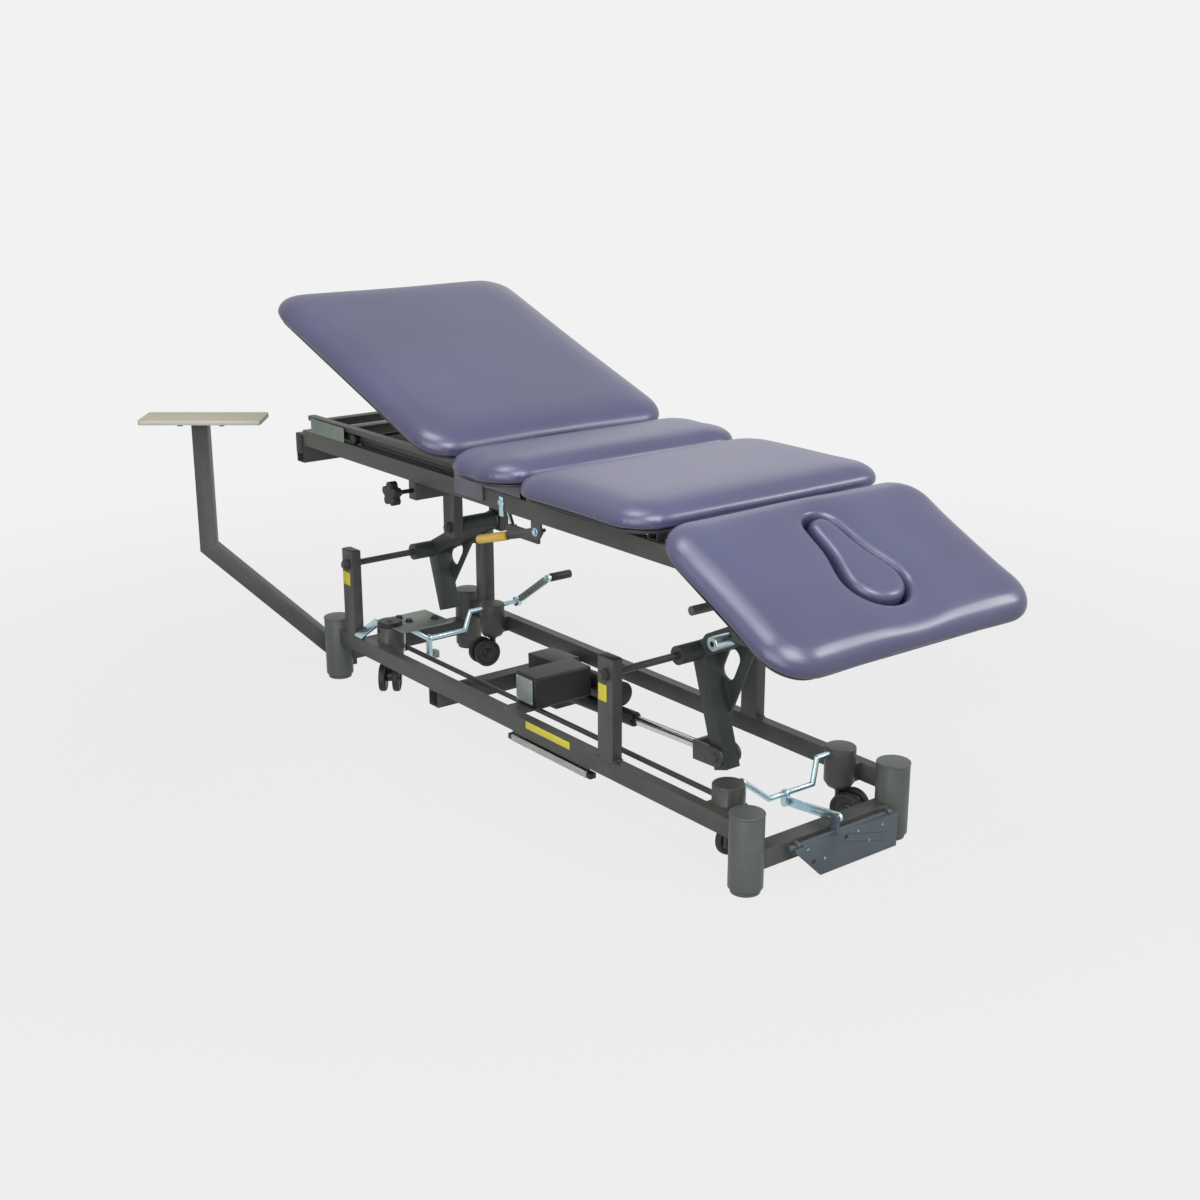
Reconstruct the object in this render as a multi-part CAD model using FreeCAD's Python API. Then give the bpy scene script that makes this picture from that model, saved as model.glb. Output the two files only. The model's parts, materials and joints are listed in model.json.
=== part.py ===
import FreeCAD, Part
import math
import os

V = FreeCAD.Vector

# Traction table. Millimetres; X to the head end, -Y the near side, Z up.
# The origin is on the floor under the middle of the base.

# Base frame
BASE_LENGTH = 1572.0        # between pillar centres
BASE_WIDTH = 409.0          # between pillar centres
PILLAR_D = 70.0
PILLAR_HEIGHT = 162.0
PILLAR_WALL = 4.0
PILLAR_CHAMFER = 5.0
FLOOR_PAD = 6.0
CAP_HEIGHT = 4.0
RAIL_HEIGHT = 40.0
RAIL_WIDTH = 25.0
RAIL_LIFT = 100.0           # floor to rail underside
TUBE_WALL = 2.5
END_TUBE = 40.0
END_TUBE_LIFT = 45.0
POST_LENGTH = 50.0
POST_ABOVE_SHAFT = 37.0
POST_CAP = 3.0

# Lift
FOOT_SHAFT_INSET = 88.0      # foot pillar centre to foot shaft
SHAFT_SPAN = 1062.0         # foot shaft to head shaft
SHAFT_LIFT = 328.0
SHAFT_D = 16.0
BOLT_HEAD_D = 26.0
BOLT_HEAD = 8.0
ARM_LENGTH = 250.0
ARM_ANGLE = 27.6            # above level, as the part rests
CRANK_MIDDLE = 32.0         # the cranks sit a little to the far side
CRANK_WIDTH = 104.0
CRANK_PLATE = 8.0
CRANK_EYE = 30.0            # radius of the plate round the shaft
PIVOT_EYE = 24.0            # radius of the plate round the hanger pin
HUB_D = 42.0
HEAD_LEG = 265.0
FOOT_LEG = 165.0
LEG_LEAN = 18.0
LEG_SIZE = 40.0
LEG_PIN = 235.0             # shaft to actuator pin
SPACER_D = 38.0
HANGER_DROP = 173.0         # pin to upper frame
HANGER_LENGTH = 50.0
HANGER_WIDTH = 25.0
HANGER_TAIL = 26.0
PIN_D = 16.0
SIDE_PLAY = 2.0             # between crank plates and hangers
RUN = 0.05                  # radial running clearance of pins
OPEN_RUN = 0.3              # radial clearance of the pin that closes a loop

# Upper frame
SIDE_RAIL_MIDDLE = 234.5
SIDE_RAIL_HEIGHT = 40.0
SIDE_RAIL_WIDTH = 25.0
FOOT_OVERHANG = 368.0       # hanger pin to rail end
HEAD_OVERHANG = 54.0
CROSS_TUBE = 40.0
END_BAR = 36.0              # bar across the foot end
END_BAR_DROP = 46.0
GUARD_START = 46.0
GUARD_LENGTH = 164.0
GUARD_THICK = 3.0
BATTEN_HEIGHT = 33.0
BATTEN_WIDTH = 30.0

# Pads
PAD_WIDTH = 690.0
PAD_THICK = 46.0
PAD_CORNER = 85.0
PAD_DRAW = 2.5              # sides drawn in between the corners
LONG_PAD = 780.0
NARROW_PAD = 240.0
MIDDLE_PAD = 434.0
HEAD_PAD = 420.0
BOARD_THICK = 6.0
BOARD_INSET = 14.0
MIDDLE_BACK = 17.5          # middle pad to the head end of the side rails
PAD_GAP = 8.0               # narrow pad to middle pad

# Sliding carriage
CARRIAGE_LENGTH = 995.0
CARRIAGE_BACK = 5.0         # carriage end to narrow pad edge
CARRIAGE_HEIGHT = 40.0      # side rail top to board
CARRIAGE_WEB = 4.0
CARRIAGE_LIP = 12.0
CARRIAGE_REACH = 20.0       # width of the lip over the rollers
ROLLER_D = 25.0
ROLLER_WIDTH = 14.0
ROLLER_PLAY = 0.3
AXLE_D = 10.0
FOOT_AXLE_INSET = 220.0
HEAD_AXLE_INSET = 55.0
CARRIAGE_TUBE = 20.0

# Hinged sections, angles as the part rests
LONG_TILT = 19.8
LONG_HINGE_BACK = 11.0      # hinge to narrow pad edge
LONG_HINGE_RISE = 31.0      # above the side rail top
LONG_PAD_START = 24.0
LONG_CLEAR = 1.0            # lowered section above the carriage lip
HEAD_TILT = 27.08
HEAD_HINGE_RISE = 25.0
HEAD_PAD_START = 5.0
HINGE_PIN_D = 12.0
HINGE_EYE = 13.0
BAR_HEIGHT = 18.0
BAR_WIDTH = 20.0
LONG_BAR_Y = 168.0
HEAD_BAR_Y = 206.0
STRINGER_Y = 94.0
EAR = 8.0
EAR_PLAY = 1.0

# Face hole, measured from the hinge end of the head pad
FACE_NARROW_AT = 110.0
FACE_NARROW_R = 40.0
FACE_WIDE_AT = 260.0
FACE_WIDE_R = 72.0
PLUG_PLAY = 3.5
PLUG_LEDGE = 8.0

# Gas springs
GAS_Y = -94.0
GAS_D = 22.0
GAS_ROD_D = 10.0
GAS_EYE = 10.0
GAS_PIN_D = 9.0
GAS_LUG_DROP = 22.0
LONG_GAS_REACH = 180.0
LONG_GAS_ANGLE = 250.0
LONG_GAS_TUBE = 146.0
LONG_GAS_ROD = 158.0
HEAD_GAS_REACH = 150.0
HEAD_GAS_ANGLE = -125.0
HEAD_GAS_TUBE = 110.0
HEAD_GAS_ROD = 130.0
GAS_FORK_D = 16.0
GAS_FORK = 26.0             # pin centre to the crotch of the fork

# Actuator
ANCHOR_BACK = 624.0         # head shaft to anchor pin
ANCHOR_LIFT = 78.0
ACTUATOR_TUBE_D = 36.0
ACTUATOR_ROD_D = 22.0
ACTUATOR_TUBE = 390.0
ACTUATOR_ROD = 400.0
ACTUATOR_FORK = 62.0
MOTOR_D = 58.0
MOTOR_LENGTH = 215.0
ANCHOR_TUBE = 40.0

# Castors
HEAD_CASTOR_INSET = 105.0   # from the pillar centres
FOOT_CASTOR_INSET = 187.0
HOUSING_D = 66.0
HOUSING_TOP = 178.0
HOUSING_LOW = 90.0
STEM_D = 28.0
STEM_TOP = 150.0
STEM_LOW = 88.0
FORK_PIN_D = 12.0
WHEEL_D = 72.0
WHEEL_LIFT = 11.0
WHEEL_WIDTH = 17.0
FORK_WIDTH = 16.0
WHEEL_PLAY = 1.0
TRAIL = 26.0
WHEEL_AXLE_D = 10.0
CAM_LIFT = 168.0            # height of the cross rods
CAM_ROD_D = 12.0
TIE_DROP = 56.0
TIE_D = 12.0
CRANKED_DROP = 55.0
FOOT_CRANKED_DROP = 48.0
PEDAL_LIFT = 78.0
PEDAL_REACH = 16.0          # pedal axis in front of the end tube
PEDAL_ARM = 30.0
PEDAL_PLATE = 5.0
PEDAL_LOW = 9.0
LEVER_REACH = 172.0
LEVER_ANGLE = 34.3
LEVER_OUT = 48.0            # far rail to hand lever
LEVER_GRIP = 66.0

# Control box and switch bar
BOX_LENGTH = 80.0
BOX_WIDTH = 160.0
BOX_HEIGHT = 74.0
BOX_AHEAD = 205.0           # anchor pin to box
TRAY_LIFT = 128.0
TRAY_THICK = 3.0
SWITCH_X = 11.0
SWITCH_LENGTH = 304.0
SWITCH_WIDTH = 16.0
SWITCH_HEIGHT = 12.0
SWITCH_TRAVEL = 5.0
SWITCH_CHANNEL = 5.0
SWITCH_STEM_D = 8.0

# Hand parts on the near side rail
KNOB_IN = 523.0             # foot end of the side rails to knob
KNOB_D = 58.0
KNOB_WIDTH = 20.0
KNOB_OUT = 44.0             # side rail to knob
LOCK_BAR = 30.0
LOCK_DROP = 43.0
RELEASE_BACK = 474.5        # head end of the side rails to release lever
RELEASE_DROP = 21.0
RELEASE_ANGLE = 16.0
RELEASE_ARM = 135.0
RELEASE_GRIP = 100.0
HEAD_LEVER = 92.0

# Swing stand
STAND_TUBE = 40.0
STAND_OUT = 70.0            # hinge axis from the pillar centre
STAND_HEADING = 231.93      # degrees from +X, as the part rests
STAND_REACH = 340.0
STAND_BEND = 336.0          # height of the bend
STAND_SLOPE = 41.6
STAND_HEIGHT = 664.0
STAND_BARREL = 36.0
STAND_PIN_D = 16.0
BOARD_LENGTH = 312.0
BOARD_DEPTH = 120.0
BOARD_PLY = 12.0
TOP_PLATE = 6.0
STAND_BOLT = 54.0

nodes = {}


def block(x, y, z):
    """Box between three (low, high) pairs."""
    return Part.makeBox(x[1] - x[0], y[1] - y[0], z[1] - z[0], V(x[0], y[0], z[0]))


def about(middle, size):
    """Pair of values a size apart, about a middle."""
    return (middle - size / 2, middle + size / 2)


def bar(start, end, d):
    """Round bar between two points."""
    a = V(*start)
    b = V(*end)
    return Part.makeCylinder(d / 2, (b - a).Length, a, b - a)


def ybar(p, y, d):
    """Round bar along Y through the point p = (x, z)."""
    return bar((p[0], y[0], p[1]), (p[0], y[1], p[1]), d)


def tube(x, y, z, axis):
    """Square tube, open at both ends of one axis (0, 1 or 2)."""
    inner = [(s[0] + TUBE_WALL, s[1] - TUBE_WALL) for s in (x, y, z)]
    inner[axis] = ((x, y, z)[axis][0] - 1, (x, y, z)[axis][1] + 1)
    return block(x, y, z).cut(block(*inner))


def join(*shapes):
    """One solid of several that touch."""
    return shapes[0].fuse(list(shapes[1:])).removeSplitter()


def group(shapes):
    """Several separate solids in one node."""
    return Part.makeCompound(list(shapes))


def plate(points, y):
    """Flat plate with an outline of (x, z) points between two y values."""
    wire = Part.makePolygon([V(p[0], y[0], p[1]) for p in points + points[:1]])
    return Part.Face(wire).extrude(V(0, y[1] - y[0], 0))


def polar(p, r, degrees):
    """Point at a distance and an angle from p, in the XZ plane."""
    a = math.radians(degrees)
    return (p[0] + r * math.cos(a), p[1] + r * math.sin(a))


def link(p, q, rp, rq, y):
    """Flat link with round ends about p and q."""
    d = math.hypot(q[0] - p[0], q[1] - p[1])
    way = math.degrees(math.atan2(q[1] - p[1], q[0] - p[0]))
    side = math.degrees(math.acos((rp - rq) / d))
    edge = [polar(p, rp, way + side), polar(q, rq, way + side)]
    edge += [polar(q, rq, way - side), polar(p, rp, way - side)]
    return join(plate(edge, y), ybar(p, y, 2 * rp), ybar(q, y, 2 * rq))


def turned(shape, p, degrees):
    """Copy turned about a Y axis through p; a positive angle lifts the head side."""
    copy = shape.copy()
    copy.rotate(V(p[0], 0, p[1]), V(0, 1, 0), -degrees)
    return copy


def moved(shape, x, y, z, heading=0.0):
    """Copy turned about the Z axis, then moved."""
    copy = shape.copy()
    copy.rotate(V(0, 0, 0), V(0, 0, 1), heading)
    copy.translate(V(x, y, z))
    return copy


def both(shape):
    """The shape and its mirror image on the other side."""
    return [shape, shape.mirror(V(0, 0, 0), V(0, 1, 0))]


def laid(shape):
    """Copy of an upright plate laid flat: z becomes y."""
    copy = shape.copy()
    copy.rotate(V(0, 0, 0), V(1, 0, 0), -90)
    return copy


def outline(x, half_w, corner, draw, z):
    """Closed outline with round corners and drawn-in sides."""
    mx = (x[0] + x[1]) / 2
    c = corner
    k = c * (1 - math.sqrt(0.5))
    w = half_w
    ring = [(x[0] + c, -w), (mx, draw - w), (x[1] - c, -w), (x[1] - k, k - w)]
    ring += [(x[1], c - w), (x[1] - draw, 0), (x[1], w - c), (x[1] - k, w - k)]
    ring += [(x[1] - c, w), (mx, w - draw), (x[0] + c, w), (x[0] + k, w - k)]
    ring += [(x[0], w - c), (x[0] + draw, 0), (x[0], c - w), (x[0] + k, k - w)]
    points = [V(p[0], p[1], z) for p in ring + ring[:1]]
    arcs = [Part.Arc(*points[i:i + 3]).toShape() for i in range(0, 16, 2)]
    return Part.Wire(arcs)


# Rise (part of the thickness) and inset of each outline up a pad
PAD_RINGS = ((0.0, 8.0), (0.14, 2.0), (0.42, 0.0), (0.68, 1.5))
PAD_RINGS += ((0.85, 6.0), (0.94, 15.0), (0.975, 34.0), (1.0, 96.0))


def pad(x, z):
    """Cushion with a crown and drawn-in sides, from x[0] to x[1], its underside at z."""
    wires = []
    for rise, inset in PAD_RINGS:
        gap = min(inset, 0.4 * (x[1] - x[0]))
        corner = max(PAD_CORNER - gap, 12.0)
        span = (x[0] + gap, x[1] - gap)
        wires.append(outline(span, PAD_WIDTH / 2 - gap, corner, PAD_DRAW, z + rise * PAD_THICK))
    return Part.makeLoft(wires, True, True)


def board(x, z):
    """Board under a pad."""
    span = (x[0] + BOARD_INSET, x[1] - BOARD_INSET)
    corner = PAD_CORNER - BOARD_INSET
    ring = outline(span, PAD_WIDTH / 2 - BOARD_INSET, corner, PAD_DRAW, z)
    return Part.Face(ring).extrude(V(0, 0, BOARD_THICK))


# Levels and places that follow from the sizes
half_l = BASE_LENGTH / 2
half_w = BASE_WIDTH / 2
rail_in = half_w - RAIL_WIDTH / 2
rail_out = half_w + RAIL_WIDTH / 2
rail_z = (RAIL_LIFT, RAIL_LIFT + RAIL_HEIGHT)
end_z = (END_TUBE_LIFT, END_TUBE_LIFT + END_TUBE)
foot_shaft_x = FOOT_SHAFT_INSET - half_l
shafts = {"head": (foot_shaft_x + SHAFT_SPAN, SHAFT_LIFT), "foot": (foot_shaft_x, SHAFT_LIFT)}
pivots = {end: polar(p, ARM_LENGTH, ARM_ANGLE) for end, p in shafts.items()}
crank_y = about(CRANK_MIDDLE, CRANK_WIDTH)
leg_y = (crank_y[1] - CRANK_PLATE - LEG_SIZE, crank_y[1] - CRANK_PLATE)
upper_z = pivots["head"][1] + HANGER_DROP
side_top = upper_z + SIDE_RAIL_HEIGHT
side_y = about(SIDE_RAIL_MIDDLE, SIDE_RAIL_WIDTH)
upper_x = (pivots["foot"][0] - FOOT_OVERHANG, pivots["head"][0] + HEAD_OVERHANG)
board_z = side_top + CARRIAGE_HEIGHT

# Base: pillars, rails, end tubes and posts
corners = [(sx * half_l, sy * half_w) for sx in (-1, 1) for sy in (-1, 1)]
pillar_cores = [bar((x, y, 0), (x, y, PILLAR_HEIGHT), PILLAR_D) for x, y in corners]


def pillar(x, y):
    """Round corner pillar, closed below and open above."""
    body = bar((x, y, FLOOR_PAD), (x, y, PILLAR_HEIGHT), PILLAR_D)
    low = [e for e in body.Edges if e.BoundBox.ZMax < FLOOR_PAD + 1]
    body = body.makeChamfer(PILLAR_CHAMFER, low)
    bore_d = PILLAR_D - 2 * PILLAR_WALL
    return body.cut(bar((x, y, FLOOR_PAD + 8), (x, y, PILLAR_HEIGHT + 1), bore_d))


def pillar_cap(x, y):
    """Lipped plastic cap with a spigot in the pillar."""
    top = PILLAR_HEIGHT + CAP_HEIGHT
    disc = bar((x, y, PILLAR_HEIGHT), (x, y, top), PILLAR_D + 2)
    rim = [e for e in disc.Edges if e.BoundBox.ZMin > top - 0.1]
    disc = disc.makeChamfer(1.5, rim)
    spigot_d = PILLAR_D - 2 * PILLAR_WALL - 1
    return join(disc, bar((x, y, PILLAR_HEIGHT - 14), (x, y, PILLAR_HEIGHT), spigot_d))


nodes["pillars"] = group(pillar(x, y) for x, y in corners)
caps = [pillar_cap(x, y) for x, y in corners]
floor_pad_d = PILLAR_D - 2 * PILLAR_CHAMFER
floor_pads = [bar((x, y, 0), (x, y, FLOOR_PAD), floor_pad_d) for x, y in corners]
nodes["pillar_ends"] = group(caps + floor_pads)
rail = tube((-half_l, half_l), about(half_w, RAIL_WIDTH), rail_z, 0)
rails = [s.cut(pillar_cores) for s in both(rail)]

pedal_p = (half_l + END_TUBE / 2 + PEDAL_REACH, PEDAL_LIFT)
pedal_y = (-125.0, 163.0)
lug_y = [about(pedal_y[0] + 18, EAR), about(pedal_y[1] - 14, EAR)]
head_tube = tube(about(half_l, END_TUBE), (-half_w, half_w), end_z, 1).cut(pillar_cores)
for span in lug_y:
    foot = block((half_l + END_TUBE / 2 - 1, pedal_p[0]), span, about(end_z[1] - 14, 24))
    head_tube = join(head_tube, foot, ybar(pedal_p, span, 24))
head_tube = head_tube.cut(ybar(pedal_p, pedal_y, CAM_ROD_D + 2 * RUN))
foot_tube = tube(about(-half_l, END_TUBE), (-half_w, half_w), end_z, 1).cut(pillar_cores)
nodes["end_tubes"] = group([head_tube, foot_tube])


def post(p, sy):
    """Upright post on a rail, with a closed top and a shaft hole."""
    x = about(p[0], POST_LENGTH)
    y = about(sy * half_w, RAIL_WIDTH)
    top = p[1] + POST_ABOVE_SHAFT
    body = tube(x, y, (rail_z[1], top - POST_CAP), 2)
    body = join(body, block(x, y, (top - POST_CAP, top)))
    return body.cut(ybar(p, (y[0] - 1, y[1] + 1), SHAFT_D + 2 * RUN))


nodes["posts"] = group(post(p, sy) for p in shafts.values() for sy in (-1, 1))


def headed_bar(p, y, d):
    """Pin or shaft along Y with a round head outside each end of the span."""
    near = ybar(p, (y[0] - BOLT_HEAD, y[0]), BOLT_HEAD_D)
    far = ybar(p, (y[1], y[1] + BOLT_HEAD), BOLT_HEAD_D)
    return join(ybar(p, y, d), near, far)


nodes["lift_shafts"] = group(headed_bar(p, (-rail_out, rail_out), SHAFT_D) for p in shafts.values())
hub_y = (crank_y[0] - SIDE_PLAY, crank_y[1] + SIDE_PLAY)
spacer_y = (hub_y[1] + SIDE_PLAY, rail_in)
spacer = ybar(shafts["head"], spacer_y, SPACER_D)
nodes["shaft_spacer"] = spacer.cut(ybar(shafts["head"], spacer_y, SHAFT_D + 2 * RUN))


def crank(end, leg, run):
    """Bell crank: hub, box arm, leg and a web with two holes."""
    p = shafts[end]
    q = pivots[end]
    far_y = (crank_y[1] - CRANK_PLATE, crank_y[1])
    down = LEG_LEAN - 90
    on_arm = polar(p, 0.72 * ARM_LENGTH, ARM_ANGLE)
    on_leg = polar(p, 0.64 * leg, down)
    web = join(link(p, q, CRANK_EYE, PIVOT_EYE, far_y), plate([p, on_arm, on_leg], far_y))
    middle = (0.4 * p[0] + 0.3 * (on_arm[0] + on_leg[0]), 0.4 * p[1] + 0.3 * (on_arm[1] + on_leg[1]))
    way = math.degrees(math.atan2(on_arm[1] - on_leg[1], on_arm[0] - on_leg[0]))
    oval = link(polar(middle, -18, way), polar(middle, 18, way), 21, 20.9, far_y)
    small = ybar(polar(polar(p, 0.58 * ARM_LENGTH, ARM_ANGLE), 36, ARM_ANGLE - 90), far_y, 20)
    arm = turned(block((p[0], p[0] + ARM_LENGTH), leg_y, about(p[1], LEG_SIZE)), p, ARM_ANGLE)
    x = about(p[0], LEG_SIZE)
    post_leg = block(x, leg_y, (p[1] - leg, p[1]))
    hollow = block(about(p[0], LEG_SIZE - 6), (leg_y[0] + 3, leg_y[1] - 3), (p[1] - leg - 1, p[1] - 40))
    tube_leg = turned(post_leg.cut(hollow), p, LEG_LEAN)
    tie = ybar(q, (crank_y[0], far_y[0]), 2 * PIVOT_EYE - 6)
    body = join(web.cut([oval, small]), arm, tube_leg, tie, ybar(p, hub_y, HUB_D))
    bores = [ybar(p, (hub_y[0] - 1, hub_y[1] + 1), SHAFT_D + 2 * RUN)]
    bores.append(ybar(q, (hub_y[0] - 1, hub_y[1] + 1), PIN_D + 2 * run))
    return body.cut(bores)


nodes["crank_head"] = crank("head", HEAD_LEG, RUN)
nodes["crank_foot"] = crank("foot", FOOT_LEG, OPEN_RUN)

# Upper frame
hanger_near = (hub_y[0] - HANGER_WIDTH - SIDE_PLAY, hub_y[0] - SIDE_PLAY)
hanger_far = (hub_y[1] + SIDE_PLAY, hub_y[1] + SIDE_PLAY + HANGER_WIDTH)
hangers = []
for q in pivots.values():
    for span in (hanger_near, hanger_far):
        body = tube(about(q[0], HANGER_LENGTH), span, (q[1] - HANGER_TAIL, upper_z), 2)
        hangers.append(body.cut(ybar(q, (span[0] - 1, span[1] + 1), PIN_D + 2 * RUN)))
pin_y = (hanger_near[0], hanger_far[1])
nodes["hangers"] = group(hangers + [headed_bar(q, pin_y, PIN_D) for q in pivots.values()])


def pin_span(ear, bar_y):
    """Span of a hinge pin that goes through one ear and the bar beside it."""
    sy = 1 if ear[0] > 0 else -1
    return sorted((sy * (bar_y + BAR_WIDTH / 2 + 4), ear[0] if sy > 0 else ear[1]))


upper_span = (-side_y[0], side_y[0])
cross_z = (upper_z, side_top)
head_hinge = (upper_x[1] - 12, side_top + HEAD_HINGE_RISE)
ear_y = (HEAD_BAR_Y - BAR_WIDTH / 2 - EAR_PLAY - EAR, HEAD_BAR_Y - BAR_WIDTH / 2 - EAR_PLAY)
end_bar_z = (upper_z - END_BAR_DROP, side_top - 12)
cross_tubes = [tube((upper_x[0] - END_BAR, upper_x[0]), (-side_y[1], side_y[1]), end_bar_z, 1)]
cross_tubes.append(tube(about(pivots["foot"][0], CROSS_TUBE), upper_span, cross_z, 1))
head_gas_a = polar(head_hinge, HEAD_GAS_REACH, HEAD_GAS_ANGLE)
gas_plate_y = (GAS_Y - 6 - EAR, GAS_Y - 6)
carrier = tube(about(pivots["head"][0], CROSS_TUBE), upper_span, cross_z, 1)
root = [(pivots["head"][0] - 20, upper_z), (pivots["head"][0] + 20, upper_z)]
arm_plate = plate([polar(head_gas_a, 12, 180), polar(head_gas_a, 12, -50)] + root[::-1], gas_plate_y)
pin = ybar(head_gas_a, (gas_plate_y[0], GAS_Y + 9), GAS_PIN_D)
cross_tubes.append(join(carrier, arm_plate, ybar(head_gas_a, gas_plate_y, 24), pin))

hinge_x = (upper_x[1] - 34, upper_x[1] - 10)
hinge_tube = tube(hinge_x, upper_span, cross_z, 1)
for span in (ear_y, (-ear_y[1], -ear_y[0])):
    neck = block(hinge_x, span, (side_top - 1, head_hinge[1]))
    hinge_tube = join(hinge_tube, neck, ybar(head_hinge, span, 24))
    hinge_tube = join(hinge_tube, ybar(head_hinge, pin_span(span, HEAD_BAR_Y), HINGE_PIN_D))
nodes["upper_cross_tubes"] = group(cross_tubes + [hinge_tube])

knob_p = (upper_x[0] + KNOB_IN, upper_z - LOCK_DROP / 2)
release_p = (upper_x[1] - RELEASE_BACK, upper_z - RELEASE_DROP)
nodes["side_rails"] = group(both(tube(upper_x, side_y, cross_z, 0)))
lock_y = (-GAS_Y + 20, side_y[1])
lock = block(about(knob_p[0], LOCK_BAR), lock_y, (upper_z - LOCK_DROP, upper_z))
locks = both(lock)
lock_hole = ybar(knob_p, (-side_y[1] - 1, -side_y[1] + 30), 10 + 2 * RUN)
locks[1] = locks[1].cut(lock_hole)
cheek_y = (-side_y[1], -side_y[1] + 6)
cheek = block(about(release_p[0], 34), cheek_y, (release_p[1], upper_z))
cheek = join(cheek, ybar(release_p, cheek_y, 34))
cheek = join(cheek, ybar(release_p, (cheek_y[0], -side_y[0]), 8))

fittings = locks + [cheek]
guard_y = (side_y[1] - GUARD_THICK, side_y[1])
guard_x = (upper_x[0] + GUARD_START, upper_x[0] + GUARD_START + GUARD_LENGTH)
guard = block(guard_x, guard_y, (side_top, board_z - 4))
nodes["end_guards"] = group(both(guard))

# Pads that do not tip, with their boards
middle_x = (upper_x[1] - MIDDLE_BACK - MIDDLE_PAD, upper_x[1] - MIDDLE_BACK)
narrow_x = (middle_x[0] - PAD_GAP - NARROW_PAD, middle_x[0] - PAD_GAP)
batten_z = (side_top, side_top + BATTEN_HEIGHT)
batten_at = (middle_x[0] + 60, middle_x[1] - 80)
batten_y = (-side_y[1] + 4, side_y[1] - 4)
fittings += [tube(about(x, BATTEN_WIDTH), batten_y, batten_z, 1) for x in batten_at]
nodes["rail_fittings"] = group(fittings)
nodes["middle_board"] = board(middle_x, batten_z[1])
nodes["middle_pad"] = pad(middle_x, batten_z[1] + BOARD_THICK)
nodes["narrow_board"] = board(narrow_x, board_z)
nodes["narrow_pad"] = pad(narrow_x, board_z + BOARD_THICK)

# Sliding carriage
axle_z = side_top + ROLLER_D / 2 + ROLLER_PLAY
carriage_head = narrow_x[1] - CARRIAGE_BACK
carriage_x = (carriage_head - CARRIAGE_LENGTH, carriage_head)
axle_x = (carriage_x[0] + FOOT_AXLE_INSET, carriage_x[1] - HEAD_AXLE_INSET)
axles = {"foot": (axle_x[0], axle_z), "head": (axle_x[1], axle_z)}
web_y = (side_y[0], side_y[0] + CARRIAGE_WEB)
lip_y = (side_y[0], side_y[0] + CARRIAGE_REACH)
web = block(carriage_x, web_y, (side_top + 3, board_z))
lip = block(carriage_x, lip_y, (board_z - CARRIAGE_LIP, board_z))
holes = [ybar(p, (web_y[0] - 1, web_y[1] + 1), AXLE_D + 2 * RUN) for p in axles.values()]
flap_y = (side_y[1] + 1, side_y[1] + 1 + CARRIAGE_WEB)
flap_x = (narrow_x[0] - 74, narrow_x[0] + 36)
shelf = block((flap_x[0], narrow_x[1] - 64), (lip_y[1] - 1, flap_y[1]), (board_z - CARRIAGE_LIP - 12, board_z))
flap = block(flap_x, flap_y, (side_top - 30, board_z))
nodes["carriage_sides"] = group(both(join(web.cut(holes), lip, shelf, flap)))
tube_z = (board_z - CARRIAGE_LIP - CARRIAGE_TUBE, board_z - CARRIAGE_LIP)
foot_bar = tube((carriage_x[0], carriage_x[0] + 30), upper_span, tube_z, 1)
head_bar = tube((carriage_x[1] - 25, carriage_x[1]), upper_span, tube_z, 1)

long_hinge = (narrow_x[0] - LONG_HINGE_BACK, side_top + LONG_HINGE_RISE)
long_gas_a = polar(long_hinge, LONG_GAS_REACH, LONG_GAS_ANGLE)
bar_x = (long_hinge[0] + 26, long_hinge[0] + 51)
hinge_bar = tube(bar_x, upper_span, tube_z, 1)
long_ear_y = (LONG_BAR_Y - BAR_WIDTH / 2 - EAR_PLAY - EAR, LONG_BAR_Y - BAR_WIDTH / 2 - EAR_PLAY)
for span in (long_ear_y, (-long_ear_y[1], -long_ear_y[0])):
    neck = block((long_hinge[0], bar_x[0] + 1), span, tube_z)
    hinge_bar = join(hinge_bar, neck, ybar(long_hinge, span, 18))
    hinge_bar = join(hinge_bar, ybar(long_hinge, pin_span(span, LONG_BAR_Y), HINGE_PIN_D))
drop = block(bar_x, gas_plate_y, (long_gas_a[1] - 12, tube_z[0]))
run = block((long_gas_a[0], bar_x[1]), gas_plate_y, about(long_gas_a[1], 24))
pin = ybar(long_gas_a, (gas_plate_y[0], GAS_Y + 9), GAS_PIN_D)
hinge_bar = join(hinge_bar, drop, run, ybar(long_gas_a, gas_plate_y, 24), pin)
nodes["carriage_tubes"] = group([foot_bar, hinge_bar, head_bar])

roller_y = about(side_y[0] + CARRIAGE_WEB + 1 + ROLLER_WIDTH / 2, ROLLER_WIDTH)
for end, p in axles.items():
    rolls = [ybar(p, s, ROLLER_D) for s in (roller_y, (-roller_y[1], -roller_y[0]))]
    nodes["rollers_" + end] = join(ybar(p, (-roller_y[1], roller_y[1]), AXLE_D), *rolls)


# Hinged sections: drawn level, then turned about their hinge
def section_bar(p, length, bar_y, rise, way):
    """Side bar with a hinge eye; way is 1 toward the head, -1 toward the foot."""
    x = sorted((p[0], p[0] + way * length))
    body = block(x, about(bar_y, BAR_WIDTH), (p[1] + rise - BAR_HEIGHT, p[1] + rise))
    eye = ybar(p, about(bar_y, BAR_WIDTH), 2 * HINGE_EYE - 8)
    return join(body, eye).cut(ybar(p, about(bar_y, BAR_WIDTH + 2), HINGE_PIN_D + 2 * RUN))


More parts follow.
